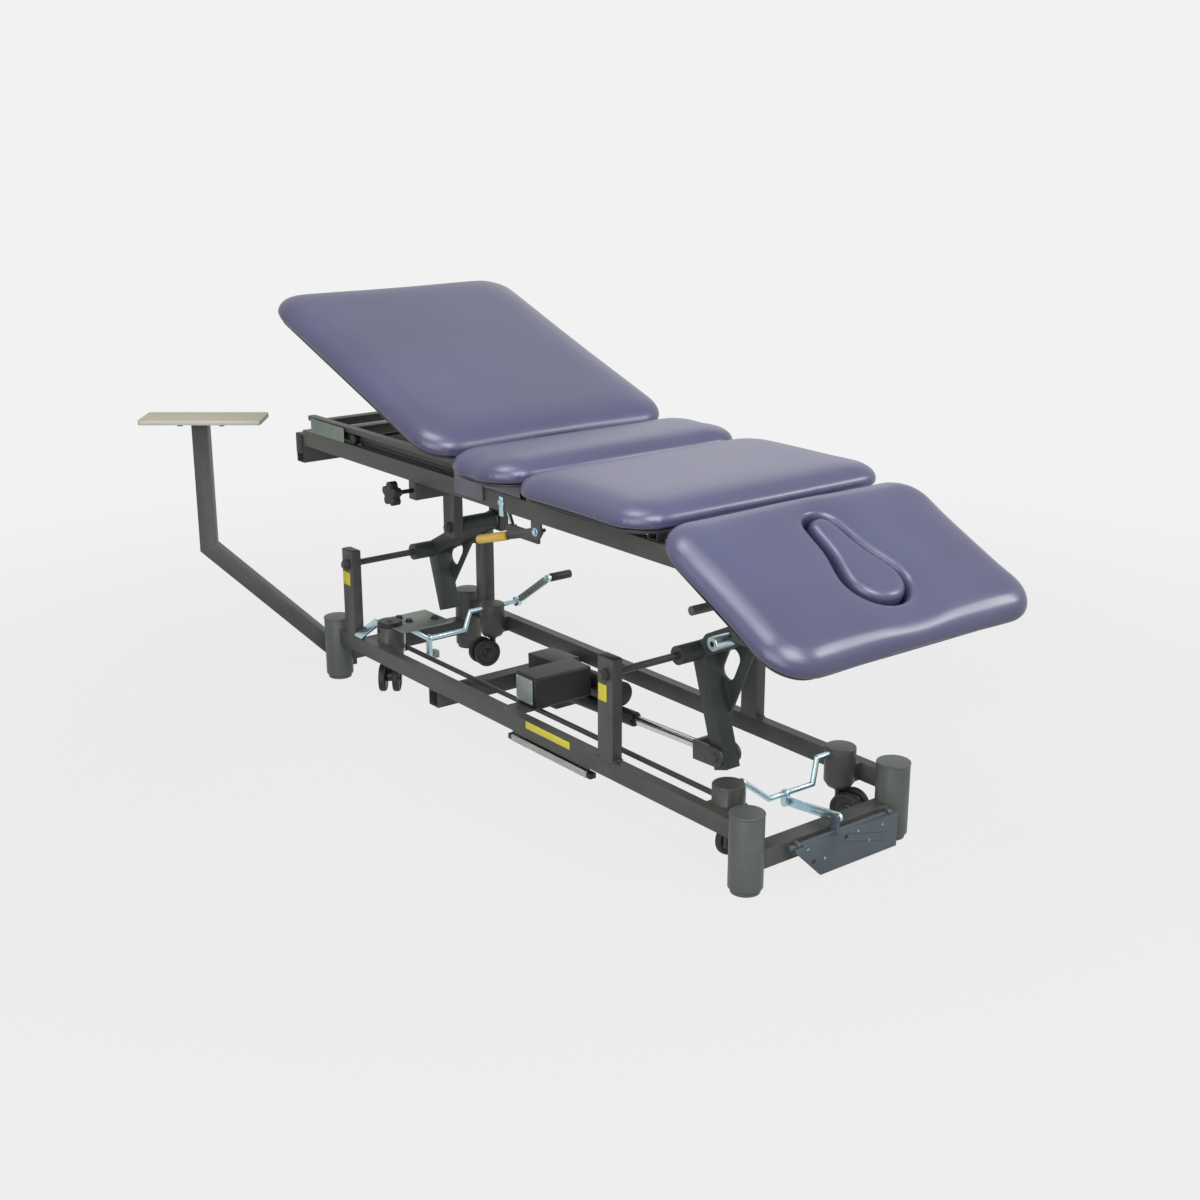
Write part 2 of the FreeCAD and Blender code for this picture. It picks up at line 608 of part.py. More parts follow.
long_z = board_z + LONG_CLEAR
long_rise = long_z - long_hinge[1]
long_x = (long_hinge[0] - LONG_PAD_START - LONG_PAD, long_hinge[0] - LONG_PAD_START)
long_bars = both(section_bar(long_hinge, LONG_PAD - 80, LONG_BAR_Y, long_rise, -1))
long_bar_in = (-LONG_BAR_Y + BAR_WIDTH / 2, LONG_BAR_Y - BAR_WIDTH / 2)
cross_bar_z = (long_z - BAR_HEIGHT, long_z)
gas_s = math.sqrt(LONG_GAS_REACH ** 2 - GAS_LUG_DROP ** 2)
long_gas_b = (long_hinge[0] - gas_s, long_hinge[1] - GAS_LUG_DROP)
long_lug_y = about(GAS_Y, EAR)
lug_bar = block(about(long_gas_b[0], BAR_WIDTH), long_bar_in, cross_bar_z)
lug = block(about(long_gas_b[0], 18), long_lug_y, (long_gas_b[1], cross_bar_z[0] + 1))
lug_bar = join(lug_bar, lug, ybar(long_gas_b, long_lug_y, 18))
far_bar = block(about(long_x[0] + 130, BAR_WIDTH), long_bar_in, cross_bar_z)
nodes["long_frame"] = group(turned(s, long_hinge, -LONG_TILT) for s in long_bars + [lug_bar, far_bar])
nodes["long_board"] = turned(board(long_x, long_z), long_hinge, -LONG_TILT)
nodes["long_pad"] = turned(pad(long_x, long_z + BOARD_THICK), long_hinge, -LONG_TILT)

head_rise = 14.0
head_z = head_hinge[1] + head_rise
head_x = (head_hinge[0] + HEAD_PAD_START, head_hinge[0] + HEAD_PAD_START + HEAD_PAD)
head_bars = both(section_bar(head_hinge, HEAD_PAD - 30, HEAD_BAR_Y, head_rise, 1))
head_bar_in = (-HEAD_BAR_Y + BAR_WIDTH / 2, HEAD_BAR_Y - BAR_WIDTH / 2)
head_bar_z = (head_z - BAR_HEIGHT, head_z)
first_x = about(head_x[0] + 40, BAR_WIDTH)
last_x = about(head_x[1] - 46, BAR_WIDTH)
head_cross = [block(x, head_bar_in, head_bar_z) for x in (first_x, last_x)]
gas_s = math.sqrt(HEAD_GAS_REACH ** 2 - GAS_LUG_DROP ** 2)
head_gas_b = (head_hinge[0] + gas_s, head_hinge[1] - GAS_LUG_DROP)
stringer = block((first_x[1], last_x[0]), about(STRINGER_Y, BAR_WIDTH - 4), head_bar_z)
near_stringer = stringer.mirror(V(0, 0, 0), V(0, 1, 0))
lug = block(about(head_gas_b[0], 18), long_lug_y, (head_gas_b[1], head_bar_z[0] + 1))
near_stringer = join(near_stringer, lug, ybar(head_gas_b, long_lug_y, 18))
lever_p = (head_hinge[0] + 92, head_z - BAR_HEIGHT / 2)
lever_y = (-HEAD_BAR_Y - BAR_WIDTH / 2 - 7, -HEAD_BAR_Y - BAR_WIDTH / 2 - 1)
lever_pin = ybar(lever_p, (lever_y[0] - 2, lever_y[1] + 1), 8)
lever_pin = join(lever_pin, ybar(lever_p, (lever_y[0] - 5, lever_y[0] - 1), 14))
head_bars[1] = join(head_bars[1], lever_pin)
head_frame = head_bars + head_cross + [stringer, near_stringer]
nodes["head_frame"] = group(turned(s, head_hinge, -HEAD_TILT) for s in head_frame)


def face_hole(shrink, z):
    """Keyhole shape through the head pad, made smaller by a margin."""
    p = (head_x[0] + FACE_NARROW_AT, 0)
    q = (head_x[0] + FACE_WIDE_AT, 0)
    return laid(link(p, q, FACE_NARROW_R - shrink, FACE_WIDE_R - shrink, (-z[1], -z[0])))


pad_z = head_z + BOARD_THICK
hole = face_hole(0, (pad_z - 1, pad_z + PAD_THICK + 10))
ledge_hole = face_hole(PLUG_PLAY + PLUG_LEDGE, (head_z - 1, pad_z + 1))
nodes["head_board"] = turned(board(head_x, head_z).cut(ledge_hole), head_hinge, -HEAD_TILT)
nodes["head_pad"] = turned(pad(head_x, pad_z).cut(hole), head_hinge, -HEAD_TILT)
plug_rings = ((RUN + 0.25, PAD_THICK - 10, 0), (PAD_THICK - 10, PAD_THICK - 4, 2), (PAD_THICK - 4, PAD_THICK, 7))
plug = [face_hole(PLUG_PLAY + inset, (pad_z + low, pad_z + high)) for low, high, inset in plug_rings]
nodes["face_plug"] = turned(join(*plug), head_hinge, -HEAD_TILT)

lever_end = polar(lever_p, HEAD_LEVER, -78)
lever = link(lever_p, lever_end, 8, 7.9, lever_y).cut(ybar(lever_p, lever_y, 8 + 2 * RUN))
lever = join(lever, ybar(lever_end, (lever_y[0] - 46, lever_y[1]), 18))
nodes["head_lever"] = turned(lever, head_hinge, -HEAD_TILT)


# Gas springs: rod hinged on the fixed side, tube with a fork on the moving side
def gas_spring(a, b, tube_length, rod_length):
    """Rod with an eye at a, tube with an open fork at b, both drawn on the line a to b."""
    length = math.hypot(b[0] - a[0], b[1] - a[1])
    way = math.degrees(math.atan2(b[1] - a[1], b[0] - a[0]))
    start = (a[0], GAS_Y, a[1])
    rod = bar((a[0] + 6, GAS_Y, a[1]), (a[0] + rod_length, GAS_Y, a[1]), GAS_ROD_D)
    eye_y = about(GAS_Y, 10)
    rod = join(rod, ybar(a, eye_y, 2 * GAS_EYE)).cut(ybar(a, about(GAS_Y, 30), GAS_PIN_D + 2 * RUN))
    end = a[0] + length
    root = end - GAS_FORK
    body = bar((root - tube_length, GAS_Y, a[1]), (root, GAS_Y, a[1]), GAS_D)
    bore_end = root - 2
    bore = bar((root - tube_length - 1, GAS_Y, a[1]), (bore_end, GAS_Y, a[1]), GAS_ROD_D + 2 * RUN)
    body = body.cut(bore)
    for sy in (-1, 1):
        cheek_y = sorted((GAS_Y + sy * (EAR / 2 + EAR_PLAY), GAS_Y + sy * (EAR / 2 + EAR_PLAY + 5)))
        cheek = block((root - 1, end), cheek_y, about(a[1], GAS_FORK_D))
        cheek = join(cheek, ybar((end, a[1]), cheek_y, GAS_FORK_D))
        head_y = sorted((GAS_Y + sy * (EAR / 2 + EAR_PLAY + 5), GAS_Y + sy * (EAR / 2 + EAR_PLAY + 8)))
        body = join(body, cheek, ybar((end, a[1]), head_y, 12))
    return turned(rod, a, way), turned(body, a, way)


def where(p, hinge, degrees):
    """Point p turned about a hinge, as turned() does with a shape."""
    r = math.hypot(p[0] - hinge[0], p[1] - hinge[1])
    way = math.degrees(math.atan2(p[1] - hinge[1], p[0] - hinge[0]))
    return polar(hinge, r, way + degrees)


long_b = where(long_gas_b, long_hinge, -LONG_TILT)
nodes["long_gas_rod"], nodes["long_gas_tube"] = gas_spring(long_gas_a, long_b, LONG_GAS_TUBE, LONG_GAS_ROD)
head_b = where(head_gas_b, head_hinge, -HEAD_TILT)
nodes["head_gas_rod"], nodes["head_gas_tube"] = gas_spring(head_gas_a, head_b, HEAD_GAS_TUBE, HEAD_GAS_ROD)

# Hand parts
knob_y = (-side_y[1] - KNOB_OUT - KNOB_WIDTH, -side_y[1] - KNOB_OUT)
lobes = [ybar(polar(knob_p, KNOB_D / 2 - 10, 90 + 72 * i), knob_y, 20) for i in range(5)]
spindle = ybar(knob_p, (knob_y[1] - 1, -side_y[1] + 28), 10)
nodes["star_knob"] = join(ybar(knob_p, knob_y, KNOB_D - 18), *lobes, spindle)
arm_y = (cheek_y[1] + 1, cheek_y[1] + 8)
release_end = polar(release_p, RELEASE_ARM, 180 + RELEASE_ANGLE)
lever = link(release_p, release_end, 10, 8, arm_y).cut(ybar(release_p, arm_y, 8 + 2 * RUN))
grip_start = polar(release_p, RELEASE_ARM - 12, 180 + RELEASE_ANGLE)
grip_end = polar(release_p, RELEASE_ARM + RELEASE_GRIP, 180 + RELEASE_ANGLE)
grip_y = (arm_y[0] + arm_y[1]) / 2
grip = bar((grip_start[0], grip_y, grip_start[1]), (grip_end[0], grip_y, grip_end[1]), 20)
nodes["release_lever"] = group([lever, grip.cut(lever)])

# Actuator, drawn level from its anchor and turned to point at the leg pin
anchor = (shafts["head"][0] - ANCHOR_BACK, ANCHOR_LIFT)
leg_pin = polar(shafts["head"], LEG_PIN, LEG_LEAN - 90)
act_y = (leg_y[0] + leg_y[1]) / 2
act_length = math.hypot(leg_pin[0] - anchor[0], leg_pin[1] - anchor[1])
act_way = math.degrees(math.atan2(leg_pin[1] - anchor[1], leg_pin[0] - anchor[0]))
anchor_x = (anchor[0] - 65, anchor[0] - 65 + ANCHOR_TUBE)
anchor_tube = tube(anchor_x, (-rail_out, rail_out), (RAIL_LIFT - ANCHOR_TUBE, RAIL_LIFT), 1)
for sy in (-1, 1):
    ear = sorted((act_y + sy * 13, act_y + sy * 21))
    neck = block((anchor_x[1] - 1, anchor[0]), ear, about(anchor[1], 32))
    anchor_tube = join(anchor_tube, neck, ybar(anchor, ear, 32))
anchor_pin = ybar(anchor, about(act_y, 42), 12)
anchor_tube = join(anchor_tube, anchor_pin)
ax = anchor[0]
eye = ybar(anchor, about(act_y, 24), 30)
case = block((ax + 22, ax + 132), about(act_y, 74), (anchor[1] - 34, anchor[1] + 84))
neck = block((ax + 8, ax + 24), about(act_y, 24), about(anchor[1], 24))
outer = bar((ax + 130, act_y, anchor[1]), (ax + ACTUATOR_TUBE, act_y, anchor[1]), ACTUATOR_TUBE_D)
motor_z = anchor[1] + ACTUATOR_TUBE_D / 2 + MOTOR_D / 2 + 3
motor = bar((ax + 130, act_y, motor_z), (ax + 130 + MOTOR_LENGTH, act_y, motor_z), MOTOR_D)
strap = block((ax + 290, ax + 310), about(act_y, 20), (anchor[1] + 12, motor_z))
body = join(eye, neck, case, outer, motor, strap)
bore = bar((ax + 62, act_y, anchor[1]), (ax + ACTUATOR_TUBE + 1, act_y, anchor[1]), ACTUATOR_ROD_D + 2 * RUN)
body = body.cut([bore, ybar(anchor, about(act_y, 40), 12 + 2 * RUN)])
nodes["actuator_body"] = turned(body, anchor, act_way)
end = ax + act_length
root = end - ACTUATOR_FORK
rod = bar((end - ACTUATOR_ROD, act_y, anchor[1]), (root, act_y, anchor[1]), ACTUATOR_ROD_D)
fork_out = LEG_SIZE / 2 + 9.5
fork = block((root - 10, root), about(act_y, 2 * fork_out), about(anchor[1], 44))
for sy in (-1, 1):
    span = sorted((act_y + sy * (LEG_SIZE / 2 + 1.5), act_y + sy * fork_out))
    cheek = block((root - 1, end), span, about(anchor[1], 44))
    head_y = sorted((act_y + sy * fork_out, act_y + sy * (fork_out + 5)))
    fork = join(fork, cheek, ybar((end, anchor[1]), span, 44), ybar((end, anchor[1]), head_y, 22))
nodes["actuator_rod"] = turned(join(rod, fork), anchor, act_way)

# Castors: housings on the base, stems that slide, forks that swivel, wheels that roll
castor_y = rail_in - HOUSING_D / 2 - 1.5
cam = {"head": (half_l - HEAD_CASTOR_INSET, CAM_LIFT), "foot": (FOOT_CASTOR_INSET - half_l, CAM_LIFT)}
headings = {("head", -1): 95.0, ("head", 1): 20.0, ("foot", -1): 320.0, ("foot", 1): 265.0}
wheel_z = WHEEL_LIFT + WHEEL_D / 2


def housing(end, sy):
    """Round castor housing with a tapered foot, held to the rail by a lug."""
    x = cam[end][0]
    y = sy * castor_y
    taper = Part.makeCone(HOUSING_D / 2 - 8, HOUSING_D / 2, 12, V(x, y, HOUSING_LOW))
    body = bar((x, y, HOUSING_LOW + 12), (x, y, HOUSING_TOP), HOUSING_D)
    rim = [e for e in body.Edges if e.BoundBox.ZMin > HOUSING_TOP - 0.1]
    body = body.makeChamfer(2, rim)
    lug = block(about(x, 50), sorted((y, sy * rail_in)), rail_z)
    body = join(body, taper, lug)
    stem_bore = bar((x, y, HOUSING_LOW - 1), (x, y, STEM_TOP + 6), STEM_D + 2 * RUN)
    through = castor_y + HOUSING_D
    inner = sorted((sy * (castor_y - HOUSING_D), y if end == "head" else sy * through))
    return body.cut([stem_bore, ybar(cam[end], inner, CAM_ROD_D + 2 * RUN)])


def stem(end, sy):
    """Sliding stem with a pin for the fork."""
    x = cam[end][0]
    y = sy * castor_y
    body = bar((x, y, STEM_LOW), (x, y, STEM_TOP), STEM_D)
    return join(body, bar((x, y, STEM_LOW - 28), (x, y, STEM_LOW), FORK_PIN_D))


def castor_fork():
    """Fork with its axle, the wheels trailing along +X from the swivel axis."""
    neck = bar((0, 0, wheel_z - 8), (0, 0, STEM_LOW - 6), FORK_WIDTH)
    flange = bar((0, 0, STEM_LOW - 6), (0, 0, STEM_LOW - 0.3), FORK_WIDTH + 8)
    web = block((0, TRAIL), about(0, FORK_WIDTH), about(wheel_z + 4, 28))
    nose = ybar((TRAIL, wheel_z + 4), about(0, FORK_WIDTH), 28)
    wide = FORK_WIDTH + 2 * WHEEL_PLAY + 2 * WHEEL_WIDTH + 1
    axle = ybar((TRAIL, wheel_z), about(0, wide), WHEEL_AXLE_D)
    caps = [ybar((TRAIL, wheel_z), sorted((s * wide / 2, s * (wide / 2 + 3))), 18) for s in (-1, 1)]
    body = join(neck, flange, web, nose, axle, *caps)
    return body.cut(bar((0, 0, STEM_LOW - 29), (0, 0, STEM_LOW), FORK_PIN_D + 2 * RUN))


def wheel_pair():
    """Twin wheels on the fork's axle."""
    pair = []
    for s in (-1, 1):
        y = sorted((s * (FORK_WIDTH / 2 + WHEEL_PLAY), s * (FORK_WIDTH / 2 + WHEEL_PLAY + WHEEL_WIDTH)))
        wheel = ybar((TRAIL, wheel_z), y, WHEEL_D)
        rims = [e for e in wheel.Edges if e.BoundBox.YLength < 0.1]
        wheel = wheel.makeChamfer(3, rims)
        outer = sorted((s * (FORK_WIDTH / 2 + WHEEL_PLAY + WHEEL_WIDTH - 4), s * 60))
        dish = ybar((TRAIL, wheel_z), outer, WHEEL_D - 20)
        boss = ybar((TRAIL, wheel_z), y, 22)
        wheel = join(wheel.cut(dish), boss)
        pair.append(wheel.cut(ybar((TRAIL, wheel_z), (-60, 60), WHEEL_AXLE_D + 2 * RUN)))
    return pair


places = [(end, sy) for end in ("head", "foot") for sy in (-1, 1)]
nodes["castor_housings"] = group(housing(end, sy) for end, sy in places)
nodes["castor_stems"] = group(stem(end, sy) for end, sy in places)
for end, sy in places:
    name = ("near_" if sy < 0 else "far_") + end
    spot = (cam[end][0], sy * castor_y, 0, headings[end, sy])
    nodes["castor_fork_" + name] = moved(castor_fork(), *spot)
    nodes["castor_wheels_" + name] = group(moved(w, *spot) for w in wheel_pair())

# Castor linkage: two cross rods, a tie rod, the pedal and its link
inner_y = castor_y - HOUSING_D / 2
lever_y = (-inner_y + 1, -inner_y + 6)
tie_y = (lever_y[1] + 1, lever_y[1] + 9)


def bent_rod(points, d):
    """Round rod through a list of points with ball corners."""
    parts = [bar(a, b, d) for a, b in zip(points, points[1:])]
    parts += [Part.makeSphere(d / 2, V(*p)) for p in points[1:-1]]
    return join(*parts)


def tie_lever(end):
    """Lever on a cross rod, with the pin for the tie rod."""
    low = (cam[end][0], CAM_LIFT - TIE_DROP)
    return [link(cam[end], low, 9.6, 9, lever_y), ybar(low, (lever_y[0], tie_y[1] + 1), 8)]


hx = cam["head"][0]
fx = cam["foot"][0]
low_z = CAM_LIFT - CRANKED_DROP
path = [(hx, -inner_y - 12, CAM_LIFT), (hx, 8 - inner_y, CAM_LIFT), (hx, -46, low_z), (hx, 78, low_z)]
path += [(hx, 88, CAM_LIFT), (hx, inner_y + 12, CAM_LIFT)]
hook = link((hx, low_z), (hx, low_z - 20), 9, 9, (-4, 4))
nodes["cross_rod_head"] = join(bent_rod(path, CAM_ROD_D), *tie_lever("head"), hook)
hand_mid = rail_out + LEVER_OUT - RAIL_WIDTH
hand_y = about(hand_mid, 12)
foot_low = CAM_LIFT - FOOT_CRANKED_DROP
path = [(fx, -inner_y - 30, CAM_LIFT), (fx, 8 - inner_y, CAM_LIFT), (fx, -46, foot_low), (fx, 70, foot_low)]
path += [(fx, 88, CAM_LIFT), (fx, hand_y[1], CAM_LIFT)]
foot_hook = link((fx, foot_low), (fx, foot_low - 42), 9, 8.9, (-46, -38))
hook_bolt = ybar((fx, foot_low - 42), (-50, -30), 10)
tip = polar(cam["foot"], LEVER_REACH, LEVER_ANGLE)
shank = bar((fx, hand_mid, CAM_LIFT), (tip[0], hand_mid, tip[1]), 11)
peg = ybar(tip, (hand_mid - 6, hand_mid + LEVER_GRIP), 10)
hand = join(ybar(cam["foot"], hand_y, 26), shank, ybar(tip, hand_y, 18), peg)
hand_grip = ybar(tip, (hand_y[1] + 1, hand_mid + LEVER_GRIP + 4), 22)
cross_rod = join(bent_rod(path, CAM_ROD_D), *tie_lever("foot"), foot_hook, hook_bolt, hand)
nodes["cross_rod_foot"] = group([cross_rod, hand_grip.cut(peg)])
tread_y = (-rail_out - 8, -castor_y - 6)
top_plate = block((fx - 50, fx + 80), (-castor_y - 10, -20), (HOUSING_TOP, HOUSING_TOP + 4))
tread = [(tread_y[0], rail_z[1] + 7), (tread_y[0], rail_z[1] + 12)]
tread += [(tread_y[1], HOUSING_TOP + 4), (tread_y[1], HOUSING_TOP - 1)]
wire = Part.makePolygon([V(fx - 64, y, z) for y, z in tread + tread[:1]])
tread = Part.Face(wire).extrude(V(36, 0, 0))
near_housing = bar((fx, -castor_y, HOUSING_LOW), (fx, -castor_y, HOUSING_TOP), HOUSING_D + 1)
nodes["castor_plate"] = join(top_plate, tread).cut(near_housing)
tie_z = CAM_LIFT - TIE_DROP
tie_mid = (tie_y[0] + tie_y[1]) / 2
tie = bar((fx + 6, tie_mid, tie_z), (hx - 6, tie_mid, tie_z), TIE_D)
eyes = [ybar((cam[end][0], tie_z), tie_y, 22) for end in cam]
holes = [ybar((cam[end][0], tie_z), (tie_y[0] - 3, tie_y[1] + 3), 8 + 2 * OPEN_RUN) for end in cam]
trim = block((fx - 40, hx + 40), (tie_y[0] - 20, tie_y[0]), about(tie_z, 40))
nodes["tie_rod"] = join(tie, *eyes).cut(holes + [trim])

shaft = ybar(pedal_p, pedal_y, CAM_ROD_D)
face_x = (pedal_p[0] + 14, pedal_p[0] + 14 + PEDAL_PLATE)
shelf = block((pedal_p[0], face_x[1]), (lug_y[0][1] + 4, lug_y[1][0] - 4), about(PEDAL_LIFT, 8))
face = block(face_x, pedal_y, (PEDAL_LOW, PEDAL_LIFT + 4))
wedge = Part.Face(Part.makePolygon([V(face_x[0] - 1, pedal_y[0] - 1, PEDAL_LIFT),
                                    V(face_x[0] - 1, pedal_y[0] + 72, PEDAL_LOW - 1),
                                    V(face_x[0] - 1, pedal_y[0] - 1, PEDAL_LOW - 1),
                                    V(face_x[0] - 1, pedal_y[0] - 1, PEDAL_LIFT)]))
face = face.cut(wedge.extrude(V(PEDAL_PLATE + 2, 0, 0)))
pedal_top = (pedal_p[0], PEDAL_LIFT + PEDAL_ARM)
pedal_arm = link(pedal_p, pedal_top, 10, 9, (-4, 4))
top_pin = ybar(pedal_top, (-4, 14), 8)
nodes["castor_pedal"] = join(shaft, shelf, face, pedal_arm, top_pin)
link_y = (5, 12)
hook_p = (hx, low_z - 20)
pull = link(pedal_top, hook_p, 10, 9, link_y)
nodes["pedal_link"] = pull.cut(ybar(pedal_top, link_y, 8 + 2 * RUN))

# Control box on its tray, and the switch bar under the near rail
tray_z = (TRAY_LIFT, TRAY_LIFT + TRAY_THICK)
box_y = (-rail_in + 42, -rail_in + 42 + BOX_WIDTH)
box_x = (anchor[0] + BOX_AHEAD, anchor[0] + BOX_AHEAD + BOX_LENGTH)
tray = block((box_x[0] + 8, box_x[1] - 8), (-rail_in, box_y[1] - 8), tray_z)
case = block(box_x, box_y, (tray_z[1], tray_z[1] + BOX_HEIGHT))
case = case.makeFillet(5, [e for e in case.Edges if e.Length > BOX_HEIGHT - 1 and e.BoundBox.ZMin > TRAY_LIFT + 2.9])
plate_x = (box_x[0] + 7, box_x[1] - 11)
plate_z = (tray_z[1] + 9, tray_z[1] + BOX_HEIGHT - 5)
nodes["control_box"] = group([case, block(plate_x, (box_y[0] - 3, box_y[0]), plate_z)])
switch_x = (SWITCH_X, SWITCH_X + SWITCH_LENGTH)
switch_y = about(-rail_out + 6, SWITCH_WIDTH)
channel_z = (RAIL_LIFT - SWITCH_CHANNEL, RAIL_LIFT)
channel = block((switch_x[0] + 12, switch_x[1] - 12), about(-half_w, RAIL_WIDTH - 4), channel_z)
switch_top = channel_z[0] - SWITCH_TRAVEL - 1
switch = block(switch_x, switch_y, (switch_top - SWITCH_HEIGHT, switch_top))
for x in (switch_x[0] + 50, switch_x[1] - 50):
    low = (x, -half_w - 2, switch_top - 1)
    high = (x, low[1], RAIL_LIFT + TUBE_WALL + 3)
    switch = join(switch, bar(low, high, SWITCH_STEM_D))
    channel = channel.cut(bar(low, high, SWITCH_STEM_D + 2 * RUN))
    rails[1] = rails[1].cut(bar(low, high, SWITCH_STEM_D + 2))
nodes["base_rails"] = group(rails)
nodes["switch_bar"] = switch
nodes["base_fittings"] = group([anchor_tube, tray, channel])

# Swing stand: bracket on the foot end tube, bent tube on a hinge pin, platform on top
way = math.radians(STAND_HEADING)
out = (math.cos(way), math.sin(way))
back = (out[1], -out[0])
stand_x = -half_l + STAND_OUT * back[0]
stand_y = -half_w + STAND_OUT * back[1]
barrel_z = (FLOOR_PAD + 16, end_z[1] - 4)
face = -half_l - END_TUBE / 2
bracket_y = (stand_y - 6, stand_y + 20)
bracket = block((face - 6, face), bracket_y, (barrel_z[0] - 8, barrel_z[1] + 8))
for low in (barrel_z[0] - 8, barrel_z[1]):
    lug = block((stand_x, face), bracket_y, (low, low + 8))
    bracket = join(bracket, lug, bar((stand_x, stand_y, low), (stand_x, stand_y, low + 8), STAND_BARREL))
pin = bar((stand_x, stand_y, barrel_z[0] - 11), (stand_x, stand_y, barrel_z[1] + 11), STAND_PIN_D)
nodes["stand_bracket"] = join(bracket, pin)


def bent_tube():
    """Sloping tube and post, drawn along +X from the hinge axis."""
    half = STAND_TUBE / 2
    rise = math.tan(math.radians(STAND_SLOPE))
    up = half / math.cos(math.radians(STAND_SLOPE))
    shift = half * math.tan(math.radians(45 - STAND_SLOPE / 2))
    low = STAND_BEND - STAND_REACH * rise
    a = (STAND_REACH + half, STAND_BEND - shift)
    b = (STAND_REACH - half, STAND_BEND + shift)
    x0 = STAND_BARREL / 2 - 6
    points = [(x0, low + x0 * rise - up), a, (a[0], STAND_HEIGHT), (b[0], STAND_HEIGHT), b]
    points.append((x0, low + x0 * rise + up))
    return plate(points, about(0, STAND_TUBE))


barrel = bar((0, 0, barrel_z[0] + 0.3), (0, 0, barrel_z[1] - 0.3), STAND_BARREL)
arm = bent_tube()
arm = arm.cut(block((0, 60), (-60, 60), (-80, barrel_z[0] + 0.3)))
arm = arm.cut(bar((0, 0, -10), (0, 0, STAND_BEND), STAND_BARREL - 4))
top = (STAND_HEIGHT, STAND_HEIGHT + TOP_PLATE)
top_plate = block(about(STAND_REACH, 2 * STAND_BOLT + 32), about(0, 56), top)
arm = join(arm, barrel, top_plate)
arm = arm.cut(bar((0, 0, 0), (0, 0, barrel_z[1] + 8), STAND_PIN_D + 2 * RUN))
ply = block(about(STAND_REACH - 9, BOARD_LENGTH), about(0, BOARD_DEPTH), (top[1], top[1] + BOARD_PLY))
upright = [e for e in ply.Edges if abs(e.BoundBox.ZLength - BOARD_PLY) < 0.1]
ply = ply.makeFillet(8, upright)
nodes["stand_platform"] = moved(ply, stand_x, stand_y, 0, STAND_HEADING)
bolts = []
for s in (-1, 1):
    x = STAND_REACH + s * STAND_BOLT
    bolts.append(bar((x, 0, top[0] - 7), (x, 0, top[0]), 14))
nodes["stand_arm"] = group(moved(s, stand_x, stand_y, 0, STAND_HEADING) for s in [arm] + bolts)

os.makedirs("parts", exist_ok=True)
for name, shape in nodes.items():
    shape.exportStep("parts/" + name + ".step")
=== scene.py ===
# %% [markdown]
# # A traction table, dressed in Blender
# The steel work arrives from the CAD model as a fixed frame: every tube, pin and wheel is already in its
# place, in metres. This lesson gives that frame its finishes, swells the cushions with a cloth simulation,
# and adds the small things that a drawing leaves out. X points to the head end, -Y to the near side, Z up.

# %% Tools and frame
import json
import math

import bmesh
import bpy
import numpy as np
from mathutils import Matrix, Vector


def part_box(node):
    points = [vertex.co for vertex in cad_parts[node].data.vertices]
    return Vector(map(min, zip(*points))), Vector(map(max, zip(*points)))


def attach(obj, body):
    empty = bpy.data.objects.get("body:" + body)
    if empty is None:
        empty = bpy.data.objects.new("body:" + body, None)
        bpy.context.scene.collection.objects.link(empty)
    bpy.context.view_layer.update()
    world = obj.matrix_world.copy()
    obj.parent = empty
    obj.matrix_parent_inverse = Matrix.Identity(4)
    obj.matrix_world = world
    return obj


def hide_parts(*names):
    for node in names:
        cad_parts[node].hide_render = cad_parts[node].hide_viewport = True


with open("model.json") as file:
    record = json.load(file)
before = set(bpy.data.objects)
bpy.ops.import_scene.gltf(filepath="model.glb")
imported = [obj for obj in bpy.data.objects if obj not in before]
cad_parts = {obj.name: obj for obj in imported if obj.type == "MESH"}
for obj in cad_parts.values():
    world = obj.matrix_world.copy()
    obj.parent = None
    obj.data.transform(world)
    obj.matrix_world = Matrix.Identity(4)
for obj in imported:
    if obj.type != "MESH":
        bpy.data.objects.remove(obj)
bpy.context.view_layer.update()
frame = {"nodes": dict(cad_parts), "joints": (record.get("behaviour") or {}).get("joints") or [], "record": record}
scene = bpy.context.scene
MM = 0.001

# %% [markdown]
# ## Camera
# The photograph was taken from the head end, a little to the near side and above the cushions. Its lines give
# the place of the camera, so the render can be laid over the photograph. The frame is square.

# %% Camera
EYE = (2.8844, -2.2040, 1.4722)
LOOK_DOWN = 17.03
HEADING = 51.94
LENS_MM = 49.45

camera = bpy.data.objects.new("camera", bpy.data.cameras.new("camera"))
camera.data.lens = LENS_MM
camera.data.sensor_width = 36.0
camera.location = EYE
camera.rotation_euler = (math.radians(90 - LOOK_DOWN), 0, math.radians(HEADING))
scene.collection.objects.link(camera)
scene.camera = camera
scene.view_settings.view_transform = "Standard"
print("camera at", EYE)

# %% [markdown]
# ## Small helpers
# Colours are written as the hex values that a paint chart gives, and turned to linear light by one function.
# One more function adds a node with its settings and links, so a material reads as a list of steps, and a few keep
# what would be written again for each piece: a new object, a modifier, a plain mesh, smooth shading.


# %% Helpers for colours, nodes and objects
def colour(hex_code):
    """Linear RGBA of an sRGB hex value such as "#70708a"."""
    parts = [int(hex_code[i:i + 2], 16) / 255 for i in (1, 3, 5)]
    return tuple(c / 12.92 if c <= 0.04045 else ((c + 0.055) / 1.055) ** 2.4 for c in parts) + (1.0,)


